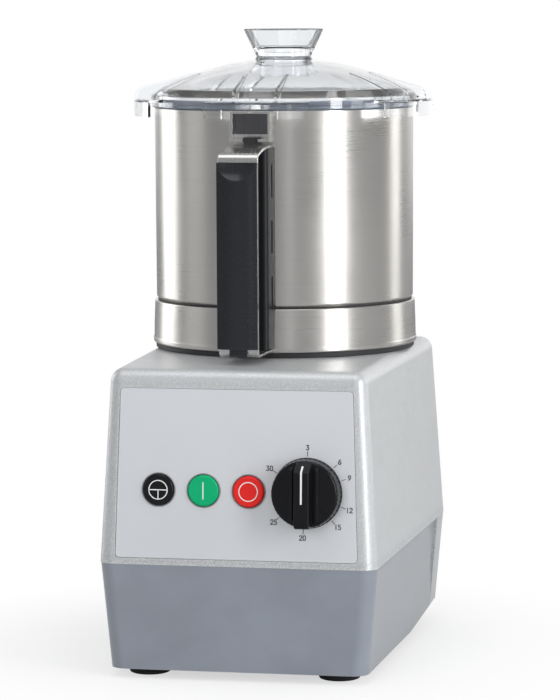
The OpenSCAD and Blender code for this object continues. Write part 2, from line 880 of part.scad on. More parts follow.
module capacitors() {
    color(black) place() for (x = capacitor_x)
        translate([x, board_y, board_z + board[2]]) cylinder(r = capacitor_r, h = capacitor_h);
}

module cable_gland() {
    color(black) place() translate([gland_x, gland_face, gland_z]) rotate([-90, 0, 0]) difference() {
        union() {
            cylinder(r = gland_hex_r, h = gland_hex_h, $fn = 6);
            translate([0, 0, gland_hex_h]) cylinder(r1 = gland_nose_r, r2 = gland_nose_tip_r, h = gland_nose_h);
            translate([0, 0, gland_inside - gland_face - gland_nut_h - overrun])
                cylinder(r = gland_thread_r, h = gland_face - gland_inside + gland_nut_h + overrun);
        }
        translate([0, 0, -base_rear]) cylinder(r = gland_bore, h = 2 * base_rear);
    }
}

module gland_nut() {
    color(black) place() translate([gland_x, gland_inside - gland_nut_h, gland_z]) rotate([-90, 0, 0])
        tube(gland_hex_r, gland_thread_r, 0, gland_nut_h);
}

// the shaft's tip with two flats, grown by gap for its socket
module drive_tip(gap, low, high) {
    translate([0, 0, low]) intersection() {
        cylinder(r = tip_r + gap, h = high - low);
        translate([-tip_r - overrun, -tip_flat / 2 - gap, 0])
            cube([2 * (tip_r + overrun), tip_flat + 2 * gap, high - low]);
    }
}

module motor_shaft() {
    color(steel) place() {
        translate([0, 0, shaft_low]) cylinder(r = shaft_r, h = tip_z - shaft_low);
        drive_tip(0, tip_z, tip_z + tip_h);
    }
}

module rotor_core() {
    color(dark_steel) place() tube(stator_bore - air_gap, shaft_r, stator_z, stator_z + stator_h);
}

module cooling_fan() {
    color(black) place() {
        tube(fan_hub_r, shaft_r, fan_z, fan_z + fan_h);
        tube(fan_r, fan_hub_r, fan_z + fan_h - fan_disc, fan_z + fan_h);
        for (i = [0:fan_blades - 1]) rotate(360 * i / fan_blades)
            translate([fan_hub_r - fan_blade_t, -fan_blade_t / 2, fan_z])
                cube([fan_r - fan_hub_r, fan_blade_t, fan_h - fan_disc]);
    }
}

module bowl_foot_ring() {
    color(rubber) place() tube(ring_out, ring_in, top_z, skirt_z);
}

// the outside of the bowl and of its skirt, from the top down
function shell_side() = [[bowl_r, rim_z], [bowl_low_r, shell_z + shell_corner]];
function skirt_side() = [
    [skirt_top_r, shell_z - groove_h], [(skirt_top_r + skirt_low_r) / 2, skirt_z + skirt_h / 2],
    [skirt_low_r, skirt_z + skirt_bead], [skirt_low_r, skirt_z + skirt_bead / 3],
    [skirt_low_r - skirt_bead / 3, skirt_z]
];

module bowl_shell() {
    column_top_r = column_r - column_draw;
    color(steel) place() rotate_extrude($fn = 180) polygon(concat(
        shell_side(),
        arc([bowl_low_r - shell_corner, shell_z + shell_corner], shell_corner, 0, -90, 3),
        [[column_r - bowl_wall, shell_z], [column_top_r - bowl_wall, column_z], [column_top_r, column_z]],
        [[column_r, floor_z]],
        arc([bowl_low_r - bowl_wall - floor_corner, floor_z + floor_corner], floor_corner, -90, 0, 6),
        [[bowl_r - bowl_wall, rim_z]]
    ));
}

module bowl_skirt() {
    inner_r = groove_r - bowl_wall;
    color(steel) place() rotate_extrude($fn = 180) polygon(concat(
        [[collar_r, shell_z], [groove_r, shell_z], [groove_r, flange_low]],
        skirt_side(),
        [[inner_r, skirt_z], [inner_r, flange_low - bowl_wall], [collar_r, flange_low - bowl_wall]]
    ));
}

// the collar under the bowl, which slides over the seat
module bowl_collar() {
    color(steel) place() rotate_extrude($fn = 180)
        translate([collar_r, flange_low - collar_drop]) square([collar_wall, collar_drop - bowl_wall]);
}

// what handle pieces leave free for the bowl and its skirt
module bowl_body() {
    rotate_extrude($fn = 180) polygon(concat(
        [[0, rim_z + overrun], [bowl_r, rim_z + overrun]], shell_side(), skirt_side(),
        [[skirt_low_r - skirt_bead / 3, top_z], [0, top_z]]
    ));
}

// handle pieces are drawn with -Y as the way out from the bowl
module at_handle() {
    place() difference() {
        rotate(handle_turn) children();
        bowl_body();
    }
}

// a prism of width w across the handle from an outline of distance and height
module handle_prism(points, w) {
    translate([w / 2, 0, 0]) rotate([90, 0, -90]) linear_extrude(w) polygon(points);
}

module catch_bracket() {
    color(steel) at_handle() difference() {
        translate([-strap_w / 2, -catch_reach, catch_low_z])
            cube([strap_w, catch_reach - bowl_r + 2 * catch_wall, catch_h]);
        translate([catch_wall - strap_w / 2, -catch_reach - overrun, catch_low_z + catch_wall])
            cube([strap_w - 2 * catch_wall, catch_reach - bowl_r - catch_wall + overrun, catch_h - 2 * catch_wall]);
        translate([-catch_notch / 2, -catch_reach - overrun, catch_low_z - overrun])
            cube([catch_notch, catch_reach - bowl_r - catch_wall + overrun, catch_wall + 2 * overrun]);
        translate([0, -catch_reach - overrun, rim_z + catch_wall / 2]) rotate([-90, 0, 0])
            cylinder(r = catch_wall, h = catch_wall + overrun);
    }
}

module catch_block() {
    w = catch_notch - 2 * slip;
    arm_top = arm_z + strap_t / 2;
    color(black) at_handle() translate([-w / 2, catch_wall - catch_reach, arm_top])
        cube([w, catch_reach - bowl_r - 3 * catch_wall, catch_block_h]);
}

// the strap's middle line: top arm, its dip, the fold, the upright, the lower fold and the bottom arm
function strap_path() = let (
    fold_x = strap_reach - fold_r,
    dip_end = fold_x + fold_r * cos(fold_a),
    dip_z = arm_z - arm_dip
) concat(
    [[bowl_r - 2 * strap_t, arm_z]],
    [for (i = [0:dip_steps - 1]) [arm_flat + (dip_end - arm_flat) * i / dip_steps,
        arm_z - arm_dip * pow(i / dip_steps, 2)]],
    arc([fold_x, dip_z - fold_r * sin(fold_a)], fold_r, fold_a, 0, 6),
    arc([fold_x, low_arm_z + fold_r], fold_r, 0, -90, 6),
    [[bowl_r - 2 * strap_t, low_arm_z]]
);

module handle_strap() {
    color(steel) at_handle() handle_prism(strip(strap_path(), strap_t), strap_w);
}

module handle_grip() {
    depth = grip_d;
    color(black) at_handle() difference() {
        union() {
            translate([0, 0, grip_low]) linear_extrude(grip_top - grip_low) intersection() {
                translate([-strap_w / 2, -grip_face - depth]) square([strap_w, depth]);
                translate([0, grip_curve - grip_face - depth]) circle(r = grip_curve);
            }
            translate([-tongue_w / 2, -grip_face - tongue_t, low_arm_z]) cube([tongue_w, tongue_t, fold_r + strap_t]);
        }
        translate([0, -grip_face - scoop_r - depth + scoop_depth, grip_top + scoop_rise]) sphere(r = scoop_r);
    }
}

module grip_back() {
    back_y = strap_t / 2 - strap_reach;
    color(black) at_handle() translate([0, back_y + grip_back_d / 2, grip_low])
        linear_extrude(grip_top - grip_low - fold_r)
            polygon(rounded(strap_w - grip_back_taper, strap_w, grip_back_d, grip_back_round));
}

module handle_back() {
    low = low_arm_z + strap_t / 2;
    high = arm_z - strap_t / 2;
    depth = back_reach - bowl_r + 2 * back_corner;
    color(black) at_handle() difference() {
        translate([0, depth / 2 - back_reach, low]) linear_extrude(high - low)
            mirror([0, 1]) polygon(rounded(back_w - back_taper, back_w, depth, back_corner));
        for (side = [-1, 1]) for (i = [0:2])
            translate([
                side * (back_w / 2 - back_slot_d / 2) - back_slot_d / 2, -bowl_r - back_slot_d - back_slot_w,
                arm_z - back_slot_top - back_slot_h - i * back_slot_pitch
            ]) cube([back_slot_d, back_slot_w, back_slot_h]);
    }
}

module handle_screws() {
    mid = (arm_z + low_arm_z) / 2;
    color(steel) at_handle() for (z = [mid - back_slot_pitch, mid + back_slot_pitch])
        translate([0, -back_reach, z]) rotate([90, 0, 0]) cylinder(r1 = screw_r, r2 = screw_tip_r, h = screw_h);
}

module blade_hub() {
    color(black) place() difference() {
        union() {
            translate([0, 0, hub_z]) cylinder(r = hub_flange_r, h = hub_flange);
            translate([0, 0, hub_z]) cylinder(r = hub_r, h = hub_top - hub_z);
        }
        translate([0, 0, hub_z - overrun]) cylinder(r = hub_bore, h = hub_roof - hub_z + overrun);
        drive_tip(slip, hub_roof - overrun, tip_z + tip_h);
    }
}

// a two-armed blade with swept tips, its arms' outline in shares of the reach
arm_share = [
    [0.16, 0.30], [0.42, 0.22], [0.68, 0.10], [0.88, -0.06], [0.97, -0.22], [0.93, -0.32], [0.80, -0.22],
    [0.60, -0.12], [0.40, -0.12], [0.22, -0.24]
];

module blade(z, turn) {
    translate([0, 0, z]) rotate(turn) difference() {
        union() {
            cylinder(r = hub_flange_r, h = blade_t);
            for (a = [0, 180]) rotate(a) linear_extrude(blade_t) polygon(arm_share * blade_reach);
        }
        translate([0, 0, -overrun]) cylinder(r = hub_r, h = blade_t + 2 * overrun);
    }
}

module lower_blade() {
    color(steel) place() blade(blade_z, 0);
}

module blade_spacer() {
    color(black) place() tube(hub_flange_r, hub_r, blade_z + blade_t, upper_z);
}

module upper_blade() {
    color(steel) place() blade(upper_z, 90);
}

module hub_cap() {
    skirt_low = upper_z + blade_t;
    color(black) place() rotate_extrude() polygon([
        [hub_r, skirt_low], [hub_flange_r, skirt_low], [hub_flange_r, hub_top],
        [hub_cap_edge_r, hub_top + hub_cap_edge_h], [hub_cap_top_r, hub_top + hub_cap_h],
        [0, hub_top + hub_cap_h], [0, hub_top], [hub_r, hub_top]
    ]);
}

module lid_seal() {
    color(seal_blue) place() tube(seal_out, seal_in, rim_z, seat_ledge_z);
}

// the lid's section: dome, shoulder, rim with the seal's seat, and the collar for the cup
function dome_line(depth, from, to) =
    [for (i = [0:dome_steps]) let (r = from + (to - from) * i / dome_steps) [r, dome_z(r, depth)]];

module lid_shell() {
    hole_r = stem_r + stem_slip;
    rotate_extrude($fn = 180) polygon(concat(
        [[hole_r, collar_z], [waist_r, collar_z]],
        dome_line(0, waist_r + lid_t / 2, dome_edge),
        [[lid_r - shoulder_round, rim_top + shoulder_round], [lid_r, rim_top], [lid_r, rim_low], [rim_in, rim_low]],
        [[rim_in, seat_ledge_z], [seal_in - slip, seat_ledge_z]],
        dome_line(lid_t, seal_in - lid_t, hole_r)
    ));
}

// one lug's wall and ledge, all the way round
module lug_ring() {
    rotate_extrude($fn = 180) polygon(concat(
        [[lug_root, lug_top - fin_t], [lug_r - fin_t, lug_top - fin_t], [lug_r - fin_t, lug_low], [lug_r, lug_low]],
        arc([lug_r - fin_t, lug_top - fin_t], fin_t, 0, 90, 4),
        [[lug_root, lug_top]]
    ));
}

module lug_wedge() {
    far = 2 * lug_r;
    translate([0, 0, lug_low - overrun]) linear_extrude(lug_top - lug_low + 2 * overrun)
        polygon([[0, 0], far * [-sin(lug_half_a), -cos(lug_half_a)], far * [sin(lug_half_a), -cos(lug_half_a)]]);
}

// a fin beside a lug's middle line, buried in the dome at one end and in the lug's wall at the other
module fin(off) {
    reach = sqrt(lug_r * lug_r - off * off) - slip;
    shoulder = sqrt(lug_root * lug_root - off * off);
    top_z0 = dome_z(norm([fin_start, off]), 0);
    fin_end = dome_edge - shoulder_w;
    corner = [reach - lug_round, lug_top];
    upper = concat([[fin_start, top_z0 - fin_bury]], [[fin_start + lid_t, top_z0]],
        arc(corner, lug_round, 75, 0, 5), [[reach, lug_top - fin_t / 2]]);
    lower = concat([[shoulder, lug_top - fin_t / 2], [shoulder, rim_top - shoulder_round]],
        [for (i = [0:fin_steps]) let (v = fin_end - (fin_end - fin_start) * i / fin_steps)
            [v, dome_z(norm([v, off]), fin_bury)]]);
    handle_prism_at(off) polygon(concat(upper, lower));
}

// stands an outline of distance and height on edge, its middle off the axis line
module handle_prism_at(off) {
    translate([off + fin_t / 2, 0, 0]) rotate([90, 0, -90]) linear_extrude(fin_t) children();
}

module lid() {
    color(clear) place() difference() {
        union() {
            lid_shell();
            for (i = [0:lug_count - 1]) rotate(360 * i / lug_count) {
                intersection() {
                    lug_ring();
                    lug_wedge();
                }
                fin(fin_off);
                fin(-fin_off);
            }
        }
        rotate(handle_turn) translate([-strap_w / 2 - 3 * catch_wall, -lug_r - overrun, lug_low - overrun])
            cube([strap_w + 6 * catch_wall, lug_r - lid_r + overrun, rim_z - lug_low + 2 * overrun]);
    }
}

module lid_magnet() {
    color(white) place() translate([0, -(lid_r + lug_r - fin_t) / 2, lug_top - fin_t - magnet_h])
        cylinder(r = magnet_r, h = magnet_h);
}

module feed_cup() {
    cup_top = collar_z + cup_h;
    throat_z = collar_z + throat_h;
    color(clear) place() rotate_extrude($fn = 120) polygon([
        [throat_r, collar_z - stem_h], [stem_r, collar_z - stem_h], [stem_r, collar_z], [waist_r, collar_z],
        [cup_r, cup_top - cup_rim_h], [cup_r, cup_top], [cup_r - cup_wall, cup_top], [waist_r + throat_lip, throat_z],
        [throat_r, throat_z - throat_lip]
    ]);
}

module button(x, tint) {
    top = panel_proud + cap_out;
    color(tint) place() on_face(x, control_z) rotate_extrude() polygon([
        [0, -stem_rod_l], [stem_rod_r, -stem_rod_l], [stem_rod_r, -cap_in], [cap_r, -cap_in],
        [cap_r, top - cap_edge], [cap_r - cap_edge, top], [0, top]
    ]);
}

module on_cap(x) {
    color(white) place() on_face(x, control_z) translate([0, 0, panel_proud + cap_out])
        linear_extrude(mark_t) children();
}

module ring_mark() {
    difference() {
        circle(r = mark_r);
        circle(r = mark_r - mark_w);
    }
}

module pulse_button() {
    button(pulse_x, black);
}

module pulse_mark() {
    inner = mark_r - mark_w / 2;
    on_cap(pulse_x) {
        ring_mark();
        translate([-inner, -mark_w / 2]) square([2 * inner, mark_w]);
        translate([-mark_w / 2, -inner]) square([mark_w, inner]);
    }
}

module start_button() {
    button(start_x, green);
}

module start_mark() {
    on_cap(start_x) translate([-mark_w / 2, -mark_r + mark_w / 2]) square([mark_w, 2 * mark_r - mark_w]);
}

module stop_button() {
    button(stop_x, red);
}

module stop_mark() {
    on_cap(stop_x) ring_mark();
}

// the knob's bar, in the plane of Y up the face and Z out of it
function bar_side() = [
    [-bar_half, knob_body_h / 2], [-bar_half, knob_out], [bar_half - bar_slope, knob_out],
    [bar_half, knob_body_h], [bar_half, knob_body_h / 2]
];

module speed_knob() {
    low = panel_proud + knob_gap;
    color(black) place() on_face(dial_x, control_z) difference() {
        union() {
            translate([0, 0, low]) cylinder(r1 = knob_r, r2 = knob_r - knob_draw, h = knob_body_h - low);
            intersection() {
                translate([-bar_w / 2, 0, 0]) rotate([90, 0, 90]) linear_extrude(bar_w) polygon(bar_side());
                cylinder(r = bar_half, h = knob_out + overrun);
            }
        }
        cylinder(r = knob_hollow_r, h = knob_hollow_h);
        cylinder(r = pot_shaft_r, h = knob_out - 2 * pot_shaft_r);
    }
}

module knob_pointer() {
    path = [[-pointer_tail, knob_out], [bar_half - bar_slope, knob_out]];
    slope_a = atan((knob_out - knob_body_h) / bar_slope);
    color(white) place() on_face(dial_x, control_z) {
        translate([-pointer_w / 2, path[0][0], knob_out])
            cube([pointer_w, path[1][0] - path[0][0], pointer_t]);
        translate([-pointer_w / 2, path[1][0], knob_out]) rotate([-slope_a, 0, 0])
            cube([pointer_w, bar_slope, pointer_t]);
    }
}

module pot_shaft() {
    color(steel) place() on_face(dial_x, control_z) translate([0, 0, -pot_shaft_in])
        cylinder(r = pot_shaft_r, h = knob_out - 2 * pot_shaft_r + pot_shaft_in);
}

hood();
front_panel();
dial_marks();
tub();
rear_cover();
feet();
foot_screws();
cover_screws();
bowl_seat();
seat_screws();
shaft_seal();
motor_flange();
motor_shell();
end_shield();
stator_core();
stator_windings();
upper_bearing();
lower_bearing();
button_guides();
switch_blocks();
pot_body();
pot_nut();
control_board();
board_posts();
heat_sink();
capacitors();
cable_gland();
gland_nut();
motor_shaft();
rotor_core();
cooling_fan();
bowl_foot_ring();
bowl_shell();
bowl_skirt();
bowl_collar();
catch_bracket();
catch_block();
handle_strap();
handle_grip();
grip_back();
handle_back();
handle_screws();
blade_hub();
lower_blade();
blade_spacer();
upper_blade();
hub_cap();
lid_seal();
lid();
lid_magnet();
feed_cup();
pulse_button();
pulse_mark();
start_button();
start_mark();
stop_button();
stop_mark();
speed_knob();
knob_pointer();
pot_shaft();
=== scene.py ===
# %% [markdown]
# # A table-top vertical cutter mixer
#
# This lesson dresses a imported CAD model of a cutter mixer: a cast base with a flat panel, three
# buttons and a dial, a brushed steel bowl with a strap handle, and a clear lid with lugs and a feed
# cup. The solids give the sizes. The pieces that the camera sees get finer meshes here, with rounded
# edges, and every surface gets a procedural material. Lengths are in millimetres round the bowl's
# axis until a piece is placed, because that is how such a machine is drawn.

# %% Frame
import json
import math

import bmesh
import bpy
from mathutils import Matrix, Vector


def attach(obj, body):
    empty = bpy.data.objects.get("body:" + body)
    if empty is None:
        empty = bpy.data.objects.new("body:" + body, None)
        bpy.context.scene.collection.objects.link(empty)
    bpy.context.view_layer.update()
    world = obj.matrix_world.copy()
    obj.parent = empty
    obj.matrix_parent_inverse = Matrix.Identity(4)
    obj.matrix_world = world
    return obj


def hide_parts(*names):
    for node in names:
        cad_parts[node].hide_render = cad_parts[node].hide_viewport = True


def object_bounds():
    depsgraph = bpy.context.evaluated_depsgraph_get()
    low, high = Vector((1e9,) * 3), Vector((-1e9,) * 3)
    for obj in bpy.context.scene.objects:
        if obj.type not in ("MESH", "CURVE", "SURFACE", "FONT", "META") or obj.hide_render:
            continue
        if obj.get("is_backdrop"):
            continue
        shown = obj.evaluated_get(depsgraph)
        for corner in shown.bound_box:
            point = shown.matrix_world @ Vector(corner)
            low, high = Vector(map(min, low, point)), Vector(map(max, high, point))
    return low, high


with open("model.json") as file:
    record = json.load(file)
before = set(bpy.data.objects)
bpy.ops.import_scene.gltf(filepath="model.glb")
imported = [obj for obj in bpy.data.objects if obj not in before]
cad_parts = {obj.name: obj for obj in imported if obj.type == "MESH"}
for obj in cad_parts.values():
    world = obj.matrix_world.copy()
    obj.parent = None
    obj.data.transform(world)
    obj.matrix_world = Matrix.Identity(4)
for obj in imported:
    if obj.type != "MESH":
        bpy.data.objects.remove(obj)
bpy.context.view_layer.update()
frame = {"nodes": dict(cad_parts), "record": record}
MM = 0.001
AXIS_Y = 51.6095

# %% [markdown]
# ## Camera
#
# The picture was taken from a little above the lid, about 2.5 m away and 11 degrees to the right of
# the front. A camera can be aimed with a tracking constraint, but that gives no roll. Here its turn
# is written as its own right, up and back directions, so that the small roll is kept.

# %% Camera
FOCAL_PIXELS, PICTURE_HEIGHT, SENSOR = 3220, 700, 36
azimuth, pitch, roll = math.radians(11.11), math.radians(6.06), math.radians(-0.29)
look = Vector((-math.sin(azimuth) * math.cos(pitch), math.cos(azimuth) * math.cos(pitch),
               -math.sin(pitch)))
level_right = Vector((math.cos(azimuth), math.sin(azimuth), 0))
level_up = level_right.cross(look)
right = level_right * math.cos(roll) + level_up * math.sin(roll)
up = level_up * math.cos(roll) - level_right * math.sin(roll)
camera_data = bpy.data.cameras.new("camera")
camera_data.sensor_width = SENSOR
camera_data.lens = FOCAL_PIXELS / PICTURE_HEIGHT * SENSOR
camera_data.clip_start = 0.1
camera_data.clip_end = 20
camera = bpy.data.objects.new("camera", camera_data)
turn = Matrix((right, up, -look)).transposed().to_4x4()
camera.matrix_world = Matrix.Translation((0.4821, -2.4247, 0.4935)) @ turn
bpy.context.scene.collection.objects.link(camera)
bpy.context.scene.camera = camera
bpy.context.scene.view_settings.view_transform = "Standard"
print("camera looks along", [round(v, 3) for v in look])

# %% [markdown]
# ## Nodes made short
#
# A material is a small graph. Each node could be written out with its links, which is long and hard
# to read. These helpers add a node with its settings and inputs in one line, and the ones that
# materials need most, a sum, a new range, a colour mix and a ramp, give back the socket to link on.

# %% Helpers for nodes
def new_material(name):
    """A material, its node tree and its shader."""
    material = bpy.data.materials.new(name)
    material.use_nodes = True
    tree = material.node_tree
    return material, tree, tree.nodes["Principled BSDF"]


def feed(tree, node, values):
    """Links an input where the value is a socket, and sets it otherwise."""
    for key, value in values.items():
        if isinstance(value, bpy.types.NodeSocket):
            tree.links.new(value, node.inputs[key])
        else:
            node.inputs[key].default_value = value


def add(tree, kind, settings=None, values=None):
    """A node of a kind, with its settings and its inputs."""
    node = tree.nodes.new(kind)
    for key, value in (settings or {}).items():
        setattr(node, key, value)
    feed(tree, node, values or {})
    return node


def use(tree, group, values):
    """A shared node group placed in a tree with its own values."""
    return add(tree, "ShaderNodeGroup", {"node_tree": group}, values)


def maths(tree, operation, *values):
    return add(tree, "ShaderNodeMath", {"operation": operation}, dict(enumerate(values))).outputs[0]


def remap(tree, value, start, stop, way="LINEAR"):
    """A value moved from one range to another, and held inside it."""
    return add(tree, "ShaderNodeMapRange", {"interpolation_type": way},
               {"Value": value, "From Min": start[0], "From Max": start[1],
                "To Min": stop[0], "To Max": stop[1]}).outputs["Result"]


def mix_colour(tree, factor, first, second, blend="MIX"):
    """Two colours blended. Each is a socket or three numbers."""
    first, second = (c if isinstance(c, bpy.types.NodeSocket) else (*c, 1.0) for c in (first, second))
    return add(tree, "ShaderNodeMix", {"data_type": "RGBA", "blend_type": blend},
               {"Factor": factor, 6: first, 7: second}).outputs[2]


def ramp(tree, value, stops):
    """A colour ramp from stops of (place, colour)."""
    node = add(tree, "ShaderNodeValToRGB", values={"Fac": value})
    elements = node.color_ramp.elements
    while len(elements) < len(stops):
        elements.new(0.5)
    for element, (place, colour) in zip(elements, stops):
        element.position = place
        element.color = (*colour, 1)
    return node.outputs["Color"]


def object_place(tree):
    return add(tree, "ShaderNodeTexCoord").outputs["Object"]


print("helpers for nodes are ready")

# %% [markdown]
# ## Effects that several materials share
#
# Grain is fine moulded or cast texture of a chosen size. Scratches are noise drawn out along one
# direction, which looks like brushing. Edge wear shows where hands and cloths rub. It could be
# painted or baked, but comparing the true normal with a rounded one finds every edge by itself. Each
# effect is a node group, so one change reaches all the materials that use it.

# %% Grain, scratches and edge wear
NUMBER, ARROW = "NodeSocketFloat", "NodeSocketVector"


def new_group(name, inputs, outputs):
    """A node group with named inputs of (label, kind, value) and outputs of (label, kind)."""
    group = bpy.data.node_groups.new(name, "ShaderNodeTree")
    for label, kind, value in inputs:
        socket = group.interface.new_socket(label, in_out="INPUT", socket_type=kind)
        socket.default_value = value
    for label, kind in outputs:
        group.interface.new_socket(label, in_out="OUTPUT", socket_type=kind)
    return group, group.nodes.new("NodeGroupInput").outputs, group.nodes.new("NodeGroupOutput")


def texture_out(group, group_out, noise, height, distance):
    """Puts out a noise and the normal that it bends."""
    bump = add(group, "ShaderNodeBump", values={
        "Height": noise, "Strength": height, "Distance": distance})
    feed(group, group_out, {"Value": noise, "Normal": bump.outputs["Normal"]})


grain, given, group_out = new_group(
    "grain", [("Size", NUMBER, 1.0), ("Height", NUMBER, 0.3)], [("Value", NUMBER), ("Normal", ARROW)])
noise = add(grain, "ShaderNodeTexNoise", values={
    "Vector": object_place(grain), "Detail": 3.0,
    "Scale": maths(grain, "DIVIDE", 1000.0, given["Size"])})
texture_out(grain, group_out, noise.outputs["Fac"], given["Height"], 0.0002)

scratches, given, group_out = new_group(
    "scratches", [("Stretch", ARROW, (20.0, 20.0, 2500.0)), ("Height", NUMBER, 0.2)],
    [("Value", NUMBER), ("Normal", ARROW)])
stretched = add(scratches, "ShaderNodeVectorMath", {"operation": "MULTIPLY"},
                {0: object_place(scratches), 1: given["Stretch"]})
noise = add(scratches, "ShaderNodeTexNoise", values={
    "Vector": stretched.outputs[0], "Scale": 1.0, "Detail": 4.0, "Roughness": 0.7})
texture_out(scratches, group_out, noise.outputs["Fac"], given["Height"], 0.0001)

edge_wear, given, group_out = new_group("edge_wear", [("Radius", NUMBER, 0.0015)], [("Mask", NUMBER)])
rounded_normal = add(edge_wear, "ShaderNodeBevel", {"samples": 4}, {"Radius": given["Radius"]})
true_normal = add(edge_wear, "ShaderNodeNewGeometry")
agreement = add(edge_wear, "ShaderNodeVectorMath", {"operation": "DOT_PRODUCT"},
                {0: rounded_normal.outputs["Normal"], 1: true_normal.outputs["Normal"]})
feed(edge_wear, group_out, {
    "Mask": remap(edge_wear, agreement.outputs["Value"], (0.99, 0.85), (0.0, 1.0))})
print("groups:", [g.name for g in bpy.data.node_groups])

# %% [markdown]
# ## Brushed metals
#
# The bowl is polished round and round with a belt, so its scratches run round it and stretch each
# reflection into an upright band. A photograph of steel would give that too, but it repeats. Here the
# scratches vary the tint and the roughness and bend the normal, and the shader's anisotropy, with a
# tangent that runs round the axis, stretches the highlight.

# %% Brushed metals
def brushed_metal(name, colour, roughness, stretch, height, anisotropic=0.0, spread=0.1):
    material, tree, shader = new_material(name)
    lines = use(tree, scratches, {"Stretch": stretch, "Height": height})
    broad = add(tree, "ShaderNodeTexNoise", values={
        "Vector": object_place(tree), "Scale": 18.0, "Detail": 2.0}).outputs["Fac"]
    tint = ramp(tree, lines.outputs["Value"], [(0.3, (0.93, 0.93, 0.93)), (0.7, (1.0, 1.0, 1.0))])
    both = maths(tree, "ADD", lines.outputs["Value"], broad)
    feed(tree, shader, {
        "Base Color": mix_colour(tree, 1.0, colour, tint, "MULTIPLY"),
        "Roughness": remap(tree, both, (0.6, 1.4), (roughness - spread / 2, roughness + spread / 2)),
        "Normal": lines.outputs["Normal"], "Metallic": 1.0})
    if anisotropic:
        tangent = add(tree, "ShaderNodeTangent", {"direction_type": "RADIAL", "axis": "Z"})
        feed(tree, shader, {"Anisotropic": anisotropic, "Anisotropic Rotation": 0.25,
                            "Tangent": tangent.outputs["Tangent"]})
    return material


bowl_steel = brushed_metal("bowl_steel", (0.66, 0.64, 0.61), 0.3, (14.0, 14.0, 1900.0), 0.12,
                           anisotropic=0.5, spread=0.1)
inner_steel = brushed_metal("inner_steel", (0.62, 0.61, 0.59), 0.32, (18.0, 18.0, 2200.0), 0.15)
strap_steel = brushed_metal("strap_steel", (0.70, 0.69, 0.67), 0.26, (2400.0, 40.0, 40.0), 0.12)
# This dark steel is painted shade: it colours the sheet that darkens the catch bracket's pocket.
dark_steel = brushed_metal("dark_steel", (0.16, 0.16, 0.17), 0.3, (500.0, 40.0, 40.0), 0.1)
blade_steel = brushed_metal("blade_steel", (0.74, 0.74, 0.74), 0.2, (900.0, 900.0, 60.0), 0.1)
screw_steel = brushed_metal("screw_steel", (0.66, 0.66, 0.66), 0.24, (700.0, 700.0, 700.0), 0.1)
ground_steel = brushed_metal("ground_steel", (0.6, 0.6, 0.61), 0.25, (60.0, 60.0, 2600.0), 0.1)
turned_aluminium = brushed_metal("turned_aluminium", (0.78, 0.79, 0.8), 0.3,
                                 (40.0, 40.0, 1800.0), 0.2)
print("brushed metals:", [m.name for m in bpy.data.materials])

# %% [markdown]
# ## Cast metal
#
# The hood is cast aluminium with a satin skin: grainy, with bright specks, edges polished by use and
# dark speckles in a band along them, where the colour is made darker. One noise could do all of it,
# but the grain, the slow change of gloss, the polished edges and the darker band each have their own
# scale, so each has its own node.

# %% Cast metals
def cast_metal(name, colour, roughness, sparkle):
    material, tree, shader = new_material(name)
    fine = use(tree, grain, {"Size": 0.9, "Height": 0.55})
    coarse = use(tree, grain, {"Size": 9.0, "Height": 0.0})
    rubbed = use(tree, edge_wear, {"Radius": 0.004})
    border = use(tree, edge_wear, {"Radius": 0.014})
    specks = remap(tree, fine.outputs["Value"], (0.52, 0.68), (0.0, sparkle))
    bright = maths(tree, "MULTIPLY_ADD", rubbed.outputs["Mask"], 0.35, specks)
    dark_specks = remap(tree, fine.outputs["Value"], (0.4, 0.54), (0.6, 0.0))
    # A band about 14 mm wide along every edge is darkened in specks.
    darker_edge_band = maths(tree, "MULTIPLY", border.outputs["Mask"], dark_specks)
    tone = mix_colour(tree, bright, colour, (0.93, 0.94, 0.95))
    feed(tree, shader, {
        "Base Color": mix_colour(tree, darker_edge_band, tone, (0.24, 0.245, 0.26)),
        "Roughness": remap(tree, coarse.outputs["Value"], (0.3, 0.7),
                           (roughness - 0.05, roughness + 0.05)),
        "Normal": fine.outputs["Normal"], "Metallic": 0.45})
    return material


cast_aluminium = cast_metal("cast_aluminium", (0.62, 0.635, 0.645), 0.4, 0.35)
core_iron = cast_metal("core_iron", (0.2, 0.2, 0.21), 0.5, 0.1)
print("cast metals: hood casting and motor iron")

# %% [markdown]
# ## Plastics, rubber, paint and print
#
# Each of these is a coloured skin with a grain, so one helper makes them all and only the numbers
# differ. The grain's size and height set how moulded it looks, edges are worn lighter, and the colour
# drifts a little from place to place. A coat gives the tub its lacquer, and its haze, which is the
# shader's sheen, lightens it where it is seen from the side.

# %% Moulded skins and print
def moulded(name, colour, roughness, size, height, wear=0.2, coat=0.0, metallic=0.0, drift=0.06,
            gloss=0.5, haze=0.0):
    material, tree, shader = new_material(name)
    skin = use(tree, grain, {"Size": size, "Height": height})
    cloud = use(tree, grain, {"Size": 40.0, "Height": 0.0})
    rubbed = use(tree, edge_wear, {"Radius": 0.0012})
    dull = tuple(c * (1 - drift) for c in colour)
    clean = tuple(min(1.0, c * (1 + drift)) for c in colour)
    bare = tuple(min(1.0, c * 1.25 + 0.04) for c in colour)
    base = ramp(tree, cloud.outputs["Value"], [(0.35, dull), (0.65, clean)])
    worn = maths(tree, "MULTIPLY", rubbed.outputs["Mask"], wear)
    feed(tree, shader, {
        "Base Color": mix_colour(tree, worn, base, bare),
        "Roughness": remap(tree, skin.outputs["Value"], (0.3, 0.7),
                           (max(0.02, roughness - 0.05), roughness + 0.05)),
        "Normal": skin.outputs["Normal"], "Metallic": metallic, "Specular IOR Level": gloss,
        "Sheen Weight": haze, "Sheen Roughness": 0.3,
        "Coat Weight": coat, "Coat Roughness": 0.15, "Coat IOR": 1.6})
    return material


